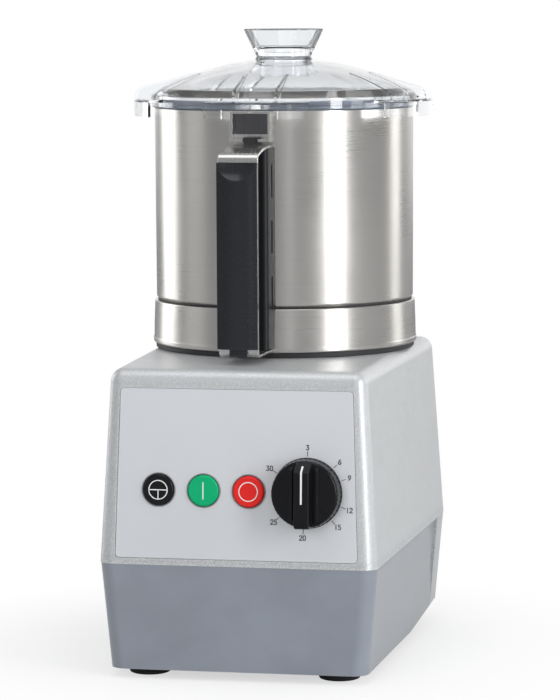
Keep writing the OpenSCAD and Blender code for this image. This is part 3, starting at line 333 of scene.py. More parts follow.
tub_plastic = moulded("tub_plastic", (0.255, 0.28, 0.325), 0.32, 0.8, 0.08, coat=1.0, haze=1.0)
panel_skin = moulded("panel_skin", (0.63, 0.645, 0.67), 0.36, 0.5, 0.05, wear=0.0, drift=0.01)
foot_rubber = moulded("foot_rubber", (0.018, 0.018, 0.02), 0.7, 1.0, 0.2)
seal_rubber = moulded("seal_rubber", (0.02, 0.02, 0.022), 0.55, 1.0, 0.15)
seal_blue = moulded("seal_blue", (0.12, 0.145, 0.19), 0.35, 0.8, 0.06)
grip_plastic = moulded("grip_plastic", (0.013, 0.015, 0.019), 0.24, 0.7, 0.04, wear=0.4, gloss=0.45)
back_plastic = moulded("back_plastic", (0.01, 0.011, 0.013), 0.4, 0.7, 0.05, wear=0.4, gloss=0.3)
black_plastic = moulded("black_plastic", (0.02, 0.02, 0.022), 0.45, 0.8, 0.12)
hub_plastic = moulded("hub_plastic", (0.03, 0.03, 0.033), 0.4, 0.8, 0.12)
guide_plastic = moulded("guide_plastic", (0.30, 0.31, 0.33), 0.35, 0.6, 0.05)
knob_plastic = moulded("knob_plastic", (0.006, 0.006, 0.008), 0.22, 0.7, 0.03, wear=0.25, gloss=0.25)
pulse_plastic = moulded("pulse_plastic", (0.006, 0.006, 0.008), 0.2, 0.7, 0.03, wear=0.15, gloss=0.3)
start_plastic = moulded("start_plastic", (0.0, 0.42, 0.165), 0.24, 0.7, 0.03, wear=0.1, gloss=0.25)
stop_plastic = moulded("stop_plastic", (0.82, 0.022, 0.018), 0.24, 0.7, 0.03, wear=0.1, gloss=0.25)
white_print = moulded("white_print", (0.88, 0.88, 0.88), 0.4, 0.5, 0.04, wear=0.0, drift=0.02)
black_print = moulded("black_print", (0.03, 0.035, 0.045), 0.5, 0.5, 0.04, wear=0.0, drift=0.05)
motor_paint = moulded("motor_paint", (0.05, 0.055, 0.06), 0.4, 1.5, 0.2)
winding_varnish = moulded("winding_varnish", (0.4, 0.16, 0.05), 0.3, 2.0, 0.5, metallic=0.6)
board_green = moulded("board_green", (0.02, 0.12, 0.05), 0.3, 1.0, 0.1)
print("materials so far:", len(bpy.data.materials))

# %% [markdown]
# ## Clear plastic
#
# The lid and the feed cup are clear polycarbonate. Mixing in a transparent shader makes a dome look
# hazy, so all of the light is transmitted instead. The index is lower than the real 1.58, because the
# true one shows dark edges where the real thin lid looks pale, and a coat brings the gloss back. Fine
# ripples and wiping marks break up the reflections.

# %% Clear plastic
clear_lid, tree, shader = new_material("clear_lid")
ripple = use(tree, grain, {"Size": 14.0, "Height": 0.25})
wiped = use(tree, scratches, {"Stretch": (160.0, 700.0, 300.0), "Height": 0.04})
rubbed = use(tree, edge_wear, {"Radius": 0.001})
marked = remap(tree, wiped.outputs["Value"], (0.35, 0.75), (0.02, 0.08))
feed(tree, shader, {
    "Base Color": (0.945, 0.957, 0.97, 1.0), "Transmission Weight": 1.0, "IOR": 1.24,
    "Roughness": maths(tree, "MULTIPLY_ADD", rubbed.outputs["Mask"], 0.12, marked),
    "Normal": ripple.outputs["Normal"], "Coat Weight": 0.5, "Coat Roughness": 0.03})
print("clear plastic ready")

# %% [markdown]
# ## Finishes of the solids
#
# Every solid from the CAD model gets one finish, also the ones inside, because each piece may be
# shown by itself. They could be named one by one, but the list goes from finish to solids, so that a
# finish is changed in one place. The finer pieces made below look theirs up in it.

# %% Finish of each solid
finishes = (
    (cast_aluminium, "hood rear_cover motor_flange end_shield heat_sink"),
    (panel_skin, "front_panel"), (tub_plastic, "tub"), (foot_rubber, "feet"),
    (screw_steel, "foot_screws cover_screws seat_screws pot_nut board_posts handle_screws"),
    (turned_aluminium, "bowl_seat"), (seal_rubber, "shaft_seal bowl_foot_ring"),
    (motor_paint, "motor_shell"), (core_iron, "stator_core rotor_core"),
    (winding_varnish, "stator_windings"), (board_green, "control_board"),
    (ground_steel, "upper_bearing lower_bearing pot_body motor_shaft pot_shaft"),
    (black_plastic, "switch_blocks capacitors cable_gland gland_nut cooling_fan catch_block"),
    (guide_plastic, "button_guides"), (bowl_steel, "bowl_shell bowl_skirt"),
    (inner_steel, "bowl_collar"), (strap_steel, "catch_bracket handle_strap"),
    (grip_plastic, "handle_grip grip_back"), (back_plastic, "handle_back"),
    (hub_plastic, "blade_hub blade_spacer hub_cap"), (blade_steel, "lower_blade upper_blade"),
    (seal_blue, "lid_seal"), (clear_lid, "lid feed_cup"), (pulse_plastic, "pulse_button"),
    (start_plastic, "start_button"), (stop_plastic, "stop_button"), (knob_plastic, "speed_knob"),
    (white_print, "lid_magnet pulse_mark start_mark stop_mark knob_pointer"),
    (black_print, "dial_marks"),
)
node_material = {node: material for material, nodes in finishes for node in nodes.split()}
for name, node in frame["nodes"].items():
    node.data.materials.clear()
    node.data.materials.append(node_material[name])
print(len(node_material), "solids dressed")

# %% [markdown]
# ## Floor
#
# A plain pale floor carries the machine. A white floor under a white sky still shows a grey horizon,
# so for the camera it fades into plain white light a little way from the machine, where its shadow
# ends. Other rays see a darker floor, because a white one would flood the steel from below.

# %% Floor
FLOOR_HALF = 6
bm = bmesh.new()
bmesh.ops.create_grid(bm, x_segments=1, y_segments=1, size=FLOOR_HALF)
floor_mesh = bpy.data.meshes.new("floor")
bm.to_mesh(floor_mesh)
bm.free()
floor = bpy.data.objects.new("floor", floor_mesh)
bpy.context.scene.collection.objects.link(floor)
floor_material, tree, shader = new_material("floor")
for_camera = add(tree, "ShaderNodeLightPath").outputs["Is Camera Ray"]
feed(tree, shader, {"Roughness": 0.8, "Base Color": mix_colour(
    tree, for_camera, (0.42, 0.425, 0.43), (0.93, 0.93, 0.93))})
distance = add(tree, "ShaderNodeVectorMath", {"operation": "LENGTH"}, {0: object_place(tree)})
fade = remap(tree, distance.outputs["Value"], (0.1, 0.34), (0.6, 1.0), "SMOOTHSTEP")
white = add(tree, "ShaderNodeEmission", values={"Color": (1.0, 1.0, 1.0, 1.0), "Strength": 1.0})
blend = add(tree, "ShaderNodeMixShader", values={
    0: maths(tree, "MULTIPLY", fade, for_camera), 1: shader.outputs[0], 2: white.outputs[0]})
output = next(node for node in tree.nodes if node.type == "OUTPUT_MATERIAL")
feed(tree, output, {"Surface": blend.outputs[0]})
floor_mesh.materials.append(floor_material)
floor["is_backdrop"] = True
print("floor", FLOOR_HALF * 2, "m wide")

# %% [markdown]
# ## Room
#
# A studio's walls show in the steel. The camera, and the rays that pass through the clear lid, see
# white. Reflections see a grey room that is brighter at the back, which is cheaper than walls.

# %% Light of the room
world = bpy.data.worlds.new("studio")
bpy.context.scene.world = world
world.use_nodes = True
tree = world.node_tree
direction = add(tree, "ShaderNodeTexCoord").outputs["Generated"]
from_front = add(tree, "ShaderNodeSeparateXYZ", values={"Vector": direction}).outputs["Y"]
room = ramp(tree, from_front, [(0.0, (0.36, 0.365, 0.375)), (0.2, (0.38, 0.385, 0.39)),
                               (0.72, (0.44, 0.44, 0.44)), (0.94, (1.05, 1.05, 1.05))])
path = add(tree, "ShaderNodeLightPath").outputs
direct = maths(tree, "MAXIMUM", path["Is Camera Ray"], path["Is Transmission Ray"])
feed(tree, tree.nodes["Background"], {
    "Color": mix_colour(tree, direct, room, (1.0, 1.0, 1.0)), "Strength": 1.0})
print("room ready")

# %% [markdown]
# ## Lights
#
# Upright soft boxes round the machine give the bowl its bright bands, each at the place where the
# bowl mirrors it to the camera. Two fills light the faces toward the camera and stay out of the
# reflections, because a box there would put a band where the steel should be dark.

# %% Soft boxes
def area_light(name, place, target, wide, high, power):
    """A soft box, with sizes in metres and power in watts."""
    data = bpy.data.lights.new(name, "AREA")
    data.shape = "RECTANGLE"
    data.size = wide
    data.size_y = high
    data.energy = power
    lamp = bpy.data.objects.new(name, data)
    lamp.location = place
    lamp.rotation_euler = (Vector(target) - Vector(place)).to_track_quat("-Z", "Y").to_euler()
    bpy.context.scene.collection.objects.link(lamp)
    return lamp


BOWL_MIDDLE, TOP_MIDDLE, BASE_MIDDLE = (0, 0.05, 0.3), (0, 0, 0.3), (0, 0, 0.2)
area_light("left_rear_panel", (-2.1, 0.9, 0.65), BOWL_MIDDLE, 1.05, 1.5, 12)
area_light("left_panel", (-2.4, -0.65, 0.65), BOWL_MIDDLE, 1.0, 1.5, 2)
area_light("right_panel", (1.9, -1.24, 0.75), BOWL_MIDDLE, 0.44, 1.6, 22)
area_light("right_rear_panel", (1.88, 1.42, 0.7), BOWL_MIDDLE, 0.6, 1.5, 5)
area_light("slim_panel", (0.75, -2.75, 0.6), BOWL_MIDDLE, 0.2, 1.5, 1)
area_light("top_panel", (0.0, -0.6, 2.4), TOP_MIDDLE, 1.6, 1.6, 12)
area_light("front_fill", (-0.7, -2.9, 0.9), BASE_MIDDLE, 1.4, 1.4, 25).visible_glossy = False
area_light("side_fill", (2.6, -0.2, 0.9), BASE_MIDDLE, 1.4, 1.4, 30).visible_glossy = False

# %% [markdown]
# ## Forms made with bmesh
#
# Most pieces are turned on a lathe or pressed from a flat outline. `revolve` spins an outline round
# the axis, and `loft` extrudes an end face from section to section, which can't twist as a bridge
# between loops can. Both are drawn in millimetres, and `placed` puts every corner where it belongs,
# so that the object itself stays at the origin.

# %% Spin and loft
def at_axis(x, y, z):
    """A point round the bowl's axis, in the scene's metres."""
    return Vector((x, y + AXIS_Y, z)) * MM


def placed(bm, name, where):
    """An object from a drawn form: doubled points joined, loose edges dropped, faces outward."""
    bmesh.ops.remove_doubles(bm, verts=bm.verts, dist=0.0001)
    loose = [edge for edge in bm.edges if not edge.link_faces]
    bmesh.ops.delete(bm, geom=loose, context="EDGES")
    for corner in bm.verts:
        corner.co = where(*corner.co)
    bmesh.ops.recalc_face_normals(bm, faces=bm.faces)
    return linked(bm, name)


def linked(bm, name):
    mesh = bpy.data.meshes.new(name)
    bm.to_mesh(mesh)
    bm.free()
    thing = bpy.data.objects.new(name, mesh)
    bpy.context.scene.collection.objects.link(thing)
    return thing


def revolve(name, profile, steps=192, where=at_axis):
    """Spins a closed outline of (radius, height) round the axis."""
    bm = bmesh.new()
    corners = [bm.verts.new((r, 0, z)) for r, z in profile]
    edges = [bm.edges.new(pair) for pair in zip(corners, corners[1:] + corners[:1])]
    bmesh.ops.spin(bm, geom=corners + edges, cent=(0, 0, 0), axis=(0, 0, 1), angle=math.tau,
                   steps=steps, use_merge=True)
    return placed(bm, name, where)


def loft(name, rings, where=at_axis):
    """Extrudes an end face from ring to ring. Each ring has equally many points."""
    bm = bmesh.new()
    end = bm.faces.new([bm.verts.new(point) for point in rings[0]])
    for step, ring in enumerate(rings[1:]):
        grown = bmesh.ops.extrude_face_region(bm, geom=[end])["geom"]
        if step:
            bmesh.ops.delete(bm, geom=[end], context="FACES_ONLY")
        end = next(part for part in grown if isinstance(part, bmesh.types.BMFace))
        for corner, point in zip(end.verts, ring):
            corner.co = point
    return placed(bm, name, where)


print("forms can be spun and extruded")

# %% [markdown]
# ## Outlines
#
# No real edge is quite sharp. A bevel could round them all, but an outline that is rounded before it
# is spun or stood up gives every edge its own true radius. Only edges that a boolean leaves, or that
# run across, are bevelled later.

# %% Outlines
def circle(x, y, r, steps):
    return [(x + r * math.cos(math.tau * k / steps), y + r * math.sin(math.tau * k / steps))
            for k in range(steps)]


def prism(name, outline, low, high, where=at_axis):
    """Stands an outline of (u, v) between two heights."""
    return loft(name, [[(u, v, w) for u, v in outline] for w in (low, high)], where)


def rod(name, radius, low, high, where=at_axis):
    return prism(name, circle(0, 0, radius, 96), low, high, where)


def fillet(points, radius, steps=4):
    """Rounds the corners of a closed outline. A point may carry its own radius as a third number."""
    done = []
    for i, point in enumerate(points):
        here = Vector(point[:2])
        before = Vector(points[i - 1][:2]) - here
        after = Vector(points[(i + 1) % len(points)][:2]) - here
        size = point[2] if len(point) > 2 else radius
        turn = before.angle(after) if before.length and after.length else math.pi
        if size <= 0 or turn > math.radians(177):
            done.append(tuple(here))
            continue
        reach = min(size / math.tan(turn / 2), before.length * 0.49, after.length * 0.49)
        size = reach * math.tan(turn / 2)
        start, stop = here + before.normalized() * reach, here + after.normalized() * reach
        half_way = (before.normalized() + after.normalized()).normalized()
        centre = here + half_way * (size / math.sin(turn / 2))
        for k in range(steps + 1):
            spoke = (start - centre).lerp(stop - centre, k / steps)
            done.append(tuple(centre + spoke.normalized() * size))
    return done


print("outlines can be rounded and stood up")

# %% [markdown]
# ## Pieces from forms
#
# A real part is one solid with holes and bosses. Faces could be deleted and bridged by hand, but
# booleans with the exact solver give the same edge that a drill leaves. Each is applied at once, so
# that a piece has no live modifiers when the next tool meets it.

# %% Cut and join
def bake(thing):
    """Applies an object's modifiers."""
    bpy.context.view_layer.update()
    done = thing.evaluated_get(bpy.context.evaluated_depsgraph_get())
    mesh = bpy.data.meshes.new_from_object(done)
    thing.modifiers.clear()
    thing.data = mesh
    return thing


def cut(thing, *tools, operation="DIFFERENCE"):
    """Takes the tools out of a piece, or joins them to it, and removes them."""
    for tool in tools:
        step = thing.modifiers.new("cut", "BOOLEAN")
        step.operation = operation
        step.solver = "EXACT"
        step.object = tool
        bake(thing)
        bpy.data.objects.remove(tool)
    return thing


def join(thing, *tools):
    return cut(thing, *tools, operation="UNION")


def beside(name, things):
    """One object from several separate meshes."""
    bm = bmesh.new()
    for thing in things:
        bm.from_mesh(thing.data)
        bpy.data.objects.remove(thing)
    return linked(bm, name)


def break_edges(thing, width, limit, segments=3):
    """Bevels the edges that turn by more than a limit in degrees."""
    edges = thing.modifiers.new("edges", "BEVEL")
    edges.width = width * MM
    edges.segments = segments
    edges.limit_method = "ANGLE"
    edges.angle_limit = math.radians(limit)
    return bake(thing)


print("pieces can be cut, joined and bevelled")

# %% [markdown]
# ## A piece stands for its solid
#
# A finer piece hides the solid that it repeats and moves with the same body. All this could be typed
# for each piece, but the frame's record already has the body, and the list above has the finish, so
# `settle` looks them up. Weighted normals keep flat faces flat beside rounded edges.

# %% Settle
body_of = {node: body for body, nodes in frame["record"]["behaviour"]["bodies"].items()
           for node in nodes}


def settle(thing, node, angle=30.0, bevel=0.0, limit=30.0):
    """Finishes a piece and lets it stand for a CAD node on that node's body."""
    if bevel:
        break_edges(thing, bevel, limit)
    thing.name = node + "_detail"
    thing.data.materials.clear()
    thing.data.materials.append(node_material[node])
    thing.data.shade_smooth()
    thing.data.set_sharp_from_angle(angle=math.radians(angle))
    weighted = thing.modifiers.new("weighted", "WEIGHTED_NORMAL")
    weighted.keep_sharp = True
    weighted.weight = 80
    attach(thing, body_of[node])
    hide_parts(node)
    print(thing.name, len(thing.data.polygons), "faces")
    return thing


# %% [markdown]
# ## Hood
#
# The hood is a hollow casting whose front leans back and whose corners draw in toward the top. A box
# with bevels can't hold corners that change as they rise, so each level is a rounded outline, and the
# last levels curl over the top edges. The inside is the same form, one wall in.

# %% Hood casting
SEAM_Z, TOP_Z, FRONT_Y, SET_BACK = 86.0, 230.0, -195.5, 8.0
LEAN = math.atan(SET_BACK / (TOP_Z - SEAM_Z))
HOOD_FOOT, HOOD_SHOULDER = ((92.4, -183.5), (101.3, 87.0)), ((86.5, -178.04), (95.4, 77.0))
SHOULDER_Z, FOOT_CORNER, TOP_CORNER, HOOD_WALL = 220.0, 12.0, 10.0, 5.0


def on_face(x, z):
    """The frame of a place on the leaning front: across, up the face, and out of it."""
    face_y = FRONT_Y + SET_BACK * (z - SEAM_Z) / (TOP_Z - SEAM_Z)

    def where(u, v, w):
        return at_axis(x + u, face_y + v * math.sin(LEAN) - w * math.cos(LEAN),
                       z + v * math.cos(LEAN) + w * math.sin(LEAN))
    return where


def box_ring(centres, r, z, steps=14):
    """A rounded outline at one height, from the centres of its front and rear right corners."""
    (front_x, front_y), (rear_x, rear_y) = centres
    ring = []
    for quarter, (x, y) in enumerate(((front_x, front_y), (rear_x, rear_y), (-rear_x, rear_y),
                                      (-front_x, front_y))):
        for i in range(steps + 1):
            a = math.radians(-90 + 90 * quarter + 90 * i / steps)
            ring.append((x + r * math.cos(a), y + r * math.sin(a), z))
    return ring


def hood_levels(inset, side_steps=8, top_steps=12):
    levels = []
    for i in range(side_steps + 1):
        t = i / side_steps
        centres = [Vector(a).lerp(Vector(b), t) for a, b in zip(HOOD_FOOT, HOOD_SHOULDER)]
        r = FOOT_CORNER + (TOP_CORNER - FOOT_CORNER) * t - inset
        levels.append(box_ring(centres, r, SEAM_Z + (SHOULDER_Z - SEAM_Z) * t))
    for i in range(1, top_steps + 1):
        a = math.radians(90 * i / top_steps)
        levels.append(box_ring(HOOD_SHOULDER, (TOP_CORNER - inset) * math.cos(a),
                               SHOULDER_Z + (TOP_CORNER - inset) * math.sin(a)))
    return levels


hood = loft("hood_casting", hood_levels(0))
room_levels = hood_levels(HOOD_WALL)
below = [(x, y, z - 1) for x, y, z in room_levels[0]]
cut(hood, loft("room", [below] + room_levels))
print("hood casting", len(hood.data.polygons), "faces")

# %% [markdown]
# The front has a shallow recess for the panel plate and holes for the controls, and the top has a
# bore for the shaft seal. The holes go through the hood and the plate at once on the real machine, so
# both are cut from the same places. The plate keeps a hairline gap round it.

# %% Panel plate and its holes
PANEL_Z, PANEL_H, PANEL_TOP, PANEL_LOW, PANEL_GAP = 153.7, 125.193, 173.4, 181.2, 0.4
CONTROL_Z, BUTTON_X, DIAL_X = 141.8, (-57.8, -24.0, 9.8), 53.5
GUIDE_R, STEM_R, SEAL_BORE_R = 12.8, 5.4, 20.8
PLATE_BACK, PLATE_FACE = -1.2, 0.3


def panel_outline(grow):
    t, b, h = PANEL_TOP / 2 + grow, PANEL_LOW / 2 + grow, PANEL_H / 2 + grow
    return fillet([(t, h), (-t, h), (-b, -h), (b, -h)], 3 + grow, 6)


def control_holes(depth):
    holes = [rod("hole", GUIDE_R, -depth, 4, on_face(x, CONTROL_Z)) for x in BUTTON_X]
    return holes + [rod("hole", STEM_R, -depth, 4, on_face(DIAL_X, CONTROL_Z))]


cut(hood, prism("recess", panel_outline(PANEL_GAP), PLATE_BACK, 8, on_face(0, PANEL_Z)),
    *control_holes(12), rod("bore", SEAL_BORE_R, TOP_Z - 10, TOP_Z + 4))
settle(hood, "hood", angle=40)
panel = prism("panel_plate", panel_outline(0), PLATE_BACK, PLATE_FACE, on_face(0, PANEL_Z))
settle(cut(panel, *control_holes(4)), "front_panel", bevel=0.2)

# %% [markdown]
# ## Tub
#
# The lower body tapers toward the floor and rises toward the back. The blue-grey tub is its front
# part and the light rear cover its back part, so both are cut from one form, and their faces meet
# without a step. A sloping recess at each side ends where the cover starts.

# %% Tub
FOOT_Z, SPLIT_Y, TUB_WALL, CORNER_R, WIDE = 7.0, 62.0, 4.0, 12.0, 150.0
LOWER_TOP, LOWER_FOOT = ((92.0, -183.1), (100.9, 86.6)), ((85.0, -181.0), (93.9, 84.5))
REAR_FEET = ((-78.0, 38.0), (78.0, 38.0))
FEET = ((-72.0, -165.0), (72.0, -165.0)) + REAR_FEET
PAD_R, SCREW_R, GRILLE_R, GRILLE_RINGS = 17.5, 2.7, 2.4, (22.64, 40.25)


def lower_levels(inset, low, high):
    return [box_ring(centres, CORNER_R - inset, z) for z, centres in (
        (low, LOWER_FOOT), (low + 0.5, LOWER_FOOT), (high - 0.5, LOWER_TOP), (high, LOWER_TOP))]


def side_prism(name, outline):
    """A prism across the machine from an outline of (y, z)."""
    return loft(name, [[(x, y, z) for y, z in outline] for x in (-WIDE, WIDE)])


def rise(z):
    """What the floor line leaves free under the rear, from a height at the front of the slope."""
    return side_prism("rise", [(-15.5, z), (100, z + 10), (100, z - 8), (-15.5, z - 8)])


def lower_part(name, far_y):
    """The lower form without what lies beyond the split on one side."""
    beyond = side_prism("split", [(SPLIT_Y, -5), (SPLIT_Y, 95), (far_y, 95), (far_y, -5)])
    return cut(loft(name, lower_levels(0, FOOT_Z, SEAM_Z)), beyond, rise(FOOT_Z))


def hollow():
    return cut(loft("room", lower_levels(TUB_WALL, 11, SEAM_Z + 1)), rise(11))


tub = lower_part("tub_shell", 140)
room = hollow()
for x, y in REAR_FEET:
    join(tub, prism("pad", circle(x, y, PAD_R, 64), 7, 17))
    cut(room, prism("pad", circle(x, y, PAD_R, 64), 6, 17))
recess = side_prism("recess", [(26, 87), (63, 87), (63, 21)])
cut(recess, loft("core", lower_levels(2.5, FOOT_Z, SEAM_Z + 2)))
cut(tub, room, recess)
cut(tub, *[prism("screw_hole", circle(x, y, SCREW_R, 32), 0, 13.5) for x, y in FEET])
for k in range(8):
    a = math.tau * k / 8
    cut(tub, *[prism("grille", circle(r * math.cos(a), r * math.sin(a), GRILLE_R, 24), 0, 22)
               for r in GRILLE_RINGS])
settle(tub, "tub", angle=40)

# %% [markdown]
# ## Rear cover
#
# The rear cover closes the tub's back. It has cooling slots with round ends, which a cutter leaves,
# and a boss for the cable gland. They are cut and joined to the shell, so that no faces overlap.

# %% Rear cover
def at_back(x, z):
    """The frame of a place on the back: across, up, and out of it."""
    return lambda u, v, w: at_axis(x + u, w, z + v)


gland_frame = at_back(56, 52)
rear = cut(lower_part("rear_shell", -220), hollow())
join(rear, rod("gland_pad", 15, 90, 101.5, gland_frame))
cut(rear, rod("gland_hole", 8, 80, 110, gland_frame))
vent_line = fillet([(-32, 0), (32, 0), (32, 3.2), (-32, 3.2)], 1.59, 6)
cut(rear, *[prism("vent", vent_line, 88, 112, at_back(-40, 34 + 8 * k)) for k in range(5)])
settle(rear, "rear_cover", angle=40)

# %% [markdown]
# ## Feet, cable gland and the bowl's seat
#
# All are turned parts, so each is one outline spun round its own axis. The rubber feet have a groove
# and a soft lower edge. The gland starts as a hexagon that a spanner fits, joined to a turned nose.

# %% Feet, gland and seat
foot_line = [(2.7, 3.5), (6, 3.5), (6, 0.6), (6.6, 0), (13.7, 0), (14.9, 0.5), (15.5, 1.7),
             (15.5, 2.5), (14.9, 2.9), (14.9, 3.6), (15.5, 4.0), (15.5, 7), (2.7, 7)]
feet = [revolve("foot", foot_line, 96, lambda u, v, w, x=x, y=y: at_axis(x + u, y + v, w))
        for x, y in FEET]
settle(beside("rubber_feet", feet), "feet", angle=35)

gland = prism("gland_hex", fillet(circle(0, 0, 12, 6), 0.8, 3), 101.5, 107.5, gland_frame)
nose = fillet([(4.5, 86), (8, 86), (8, 101.6), (8, 107.4), (10, 107.4), (10, 110), (9.3, 110.4),
               (9.3, 111.2), (9.9, 111.6), (8.6, 115.8, 1.2), (8, 116.5, 0.6),
               (4.5, 116.5, 0.6)], 0, 4)
join(gland, revolve("nose", nose, 96, gland_frame))
cut(gland, rod("bore", 4.5, 80, 120, gland_frame))
settle(gland, "cable_gland", bevel=0.25, limit=40)

seat_line = fillet([(20, 230, 0), (60.8, 230, 0), (60.8, 248, 0.6), (58.8, 250, 0.6), (34, 250, 1.5),
                    (32, 256, 0.8), (20, 256, 0.6)], 0.5, 4)
settle(revolve("seat", seat_line), "bowl_seat", angle=35)

# %% [markdown]
# ## Buttons
#
# Each cap slides in a thin guide ring and carries a generic sign: a pulse, a line for on, a ring for
# off. The signs could be a texture, but thin raised shapes stay sharp in every view and follow their
# cap when it is pressed.

# %% Buttons and their signs
SIGN_LOW, SIGN_HIGH, SIGN_HALF = 2.45, 2.62, 0.35
guide_line = fillet([(12, -9, 0), (12.8, -9, 0), (12.8, 0.9, 0.35), (12, 0.9, 0.35)], 0, 4)
guides = [revolve("guide", guide_line, 128, on_face(x, CONTROL_Z)) for x in BUTTON_X]
settle(beside("guides", guides), "button_guides", angle=40)
cap_line = fillet([(0, -13, 0), (3.5, -13, 0), (3.5, -4, 0), (11.6, -4, 0), (11.6, 2.5, 1.7),
                   (0, 2.5, 0)], 0, 8)
for x, node in zip(BUTTON_X, ("pulse_button", "start_button", "stop_button")):
    settle(revolve("cap", cap_line, 128, on_face(x, CONTROL_Z)), node, angle=40)


def ring_sign(x):
    line = [(6.55, SIGN_LOW), (7.25, SIGN_LOW), (7.25, SIGN_HIGH), (6.55, SIGN_HIGH)]
    return revolve("ring_mark", line, 96, on_face(x, CONTROL_Z))


def line_sign(x, u, v):
    """A bar over ranges across and up."""
    box = fillet([(u[0], v[0]), (u[1], v[0]), (u[1], v[1]), (u[0], v[1])], 0.15, 2)
    return prism("line_mark", box, SIGN_LOW, SIGN_HIGH, on_face(x, CONTROL_Z))


pulse_x, start_x, stop_x = BUTTON_X
thin = (-SIGN_HALF, SIGN_HALF)
signs = {
    "pulse_mark": [ring_sign(pulse_x), line_sign(pulse_x, (-6.8, 6.8), thin),
                   line_sign(pulse_x, thin, (-6.8, 0))],
    "start_mark": [line_sign(start_x, (-0.4, 0.4), (-6.4, 6.4))],
    "stop_mark": [ring_sign(stop_x)],
}
for node, strokes in signs.items():
    settle(beside(node, strokes), node, angle=40)

# %% [markdown]
# ## Dial print
#
# The dial's numbers are printed in a thin, plain hand. A font would bring its own shapes and many
# faces, so each figure is a line on a grid one unit high, and a stroke is a flat box for each step.

# %% Dial print
DIAL = [(3, 0), (6, 45.7), (9, 69.3), (12, 111.1), (15, 137.4), (20, 186), (25, 228.8), (30, 301.8)]
PRINT_LOW, PRINT_HIGH, TICK_R, FIGURE_R, FIGURE_H = 0.28, 0.45, (27.1, 30.1), 33.2, 3.4
knob_frame = on_face(DIAL_X, CONTROL_Z)


def bow(x, y, r, start, stop, steps=12):
    """Points on an arc between two angles in degrees."""
    angles = [math.radians(start + (stop - start) * i / steps) for i in range(steps + 1)]
    return [(x + r * math.cos(a), y + r * math.sin(a)) for a in angles]


DIGITS = {
    0: bow(0.28, 0.74, 0.26, 0, 180) + bow(0.28, 0.26, 0.26, 180, 360) + [(0.54, 0.58)],
    1: [(0.34, 1), (0.34, 0)],
    2: bow(0.28, 0.74, 0.26, 165, -35) + [(0.02, 0), (0.56, 0)],
    3: [(0.04, 1), (0.5, 1)] + bow(0.26, 0.3, 0.28, 90, -150),
    5: [(0.5, 1), (0.1, 1), (0.1, 0.6)] + bow(0.26, 0.3, 0.3, 100, -140),
    6: [(0.47, 0.97), (0.24, 0.84), (0.07, 0.6)] + bow(0.28, 0.28, 0.27, 170, 440, 16),
    9: [(0.09, 0.03), (0.32, 0.16), (0.49, 0.4)] + bow(0.28, 0.72, 0.27, -10, 260, 16),
}


def stroke(line, half):
    """A printed line of a given half width."""
    pieces = []
    for (ax, ay), (bx, by) in zip(line, line[1:]):
        size = math.hypot(bx - ax, by - ay)
        ux, uy = (bx - ax) / size * half, (by - ay) / size * half
        box = [(ax - ux - uy, ay - uy + ux), (ax - ux + uy, ay - uy - ux),
               (bx + ux + uy, by + uy - ux), (bx + ux - uy, by + uy + ux)]
        pieces.append(prism("stroke", box, PRINT_LOW, PRINT_HIGH, knob_frame))
    return pieces


dial_print = []
for number, angle in DIAL:
    across, along = math.sin(math.radians(angle)), math.cos(math.radians(angle))
    dial_print += stroke([(r * across, r * along) for r in TICK_R], 0.22)
    figures = [int(c) for c in str(number)]
    for k, figure in enumerate(figures):
        left = FIGURE_R * across + FIGURE_H * (0.8 * (k - (len(figures) - 1) / 2) - 0.28)
        low = FIGURE_R * along - FIGURE_H / 2
        line = [(left + FIGURE_H * u, low + FIGURE_H * v) for u, v in DIGITS[figure]]
        dial_print += stroke(line, 0.3)
settle(beside("print", dial_print), "dial_marks", angle=40)

# %% [markdown]
# ## Knob
#
# The knob is a fluted disc with a tall bar across it and a low ridge at each side of the bar. The
# flutes are waves in the disc's rings, because cutting them one by one would take far longer. The
# bar and the ridges are set into the disc, not united with it, so that their soft edges stay whole.

# %% Knob
FLUTES, RING_POINTS = 45, 360
levels = [(0.8, 25.4, 0), (1.2, 26, 0), (2.4, 26, 0), (2.9, 25.7, 0), (3.2, 25.6, 0.3),
          (11.3, 24.9, 0.3), (12.2, 24.7, 0.12), (13.0, 24.2, 0), (13.7, 23.4, 0), (14.0, 22.4, 0)]
rings = []
for z, r, depth in levels:
    ring = []
    for k in range(RING_POINTS):
        a = math.tau * k / RING_POINTS
        size = r - depth * (0.5 - 0.5 * math.cos(FLUTES * a))
        ring.append((size * math.cos(a), size * math.sin(a), z))
    rings.append(ring)
knob = cut(loft("knob_body", rings, knob_frame), rod("room", 9.5, -1, 4.9, knob_frame))


def knob_rib(name, line, low, high):
    """A rib on the knob from an outline of (up, out), over a range across."""
    return loft(name, [[(u, v, w) for v, w in line] for u in (low, high)], knob_frame)


bar_line = fillet([(-24.3, 8, 0), (-24.3, 26, 3.5), (17, 26, 1.5), (24.3, 14, 1.2),
                   (24.3, 8, 0)], 0, 6)
bar = break_edges(knob_rib("bar", bar_line, -5.5, 5.5), 0.9, 50, segments=4)
ridge_line = fillet([(-19, 10, 0), (-19, 16.2, 1.2), (18, 16.2, 1.2), (20.5, 13, 0.5),
                     (20.5, 10, 0)], 0, 5)
ridges = [break_edges(knob_rib("ridge", ridge_line, side * 8.2, side * 10.4), 0.6, 50)
          for side in (-1, 1)]
settle(beside("knob", [knob, bar] + ridges), "speed_knob", angle=40)
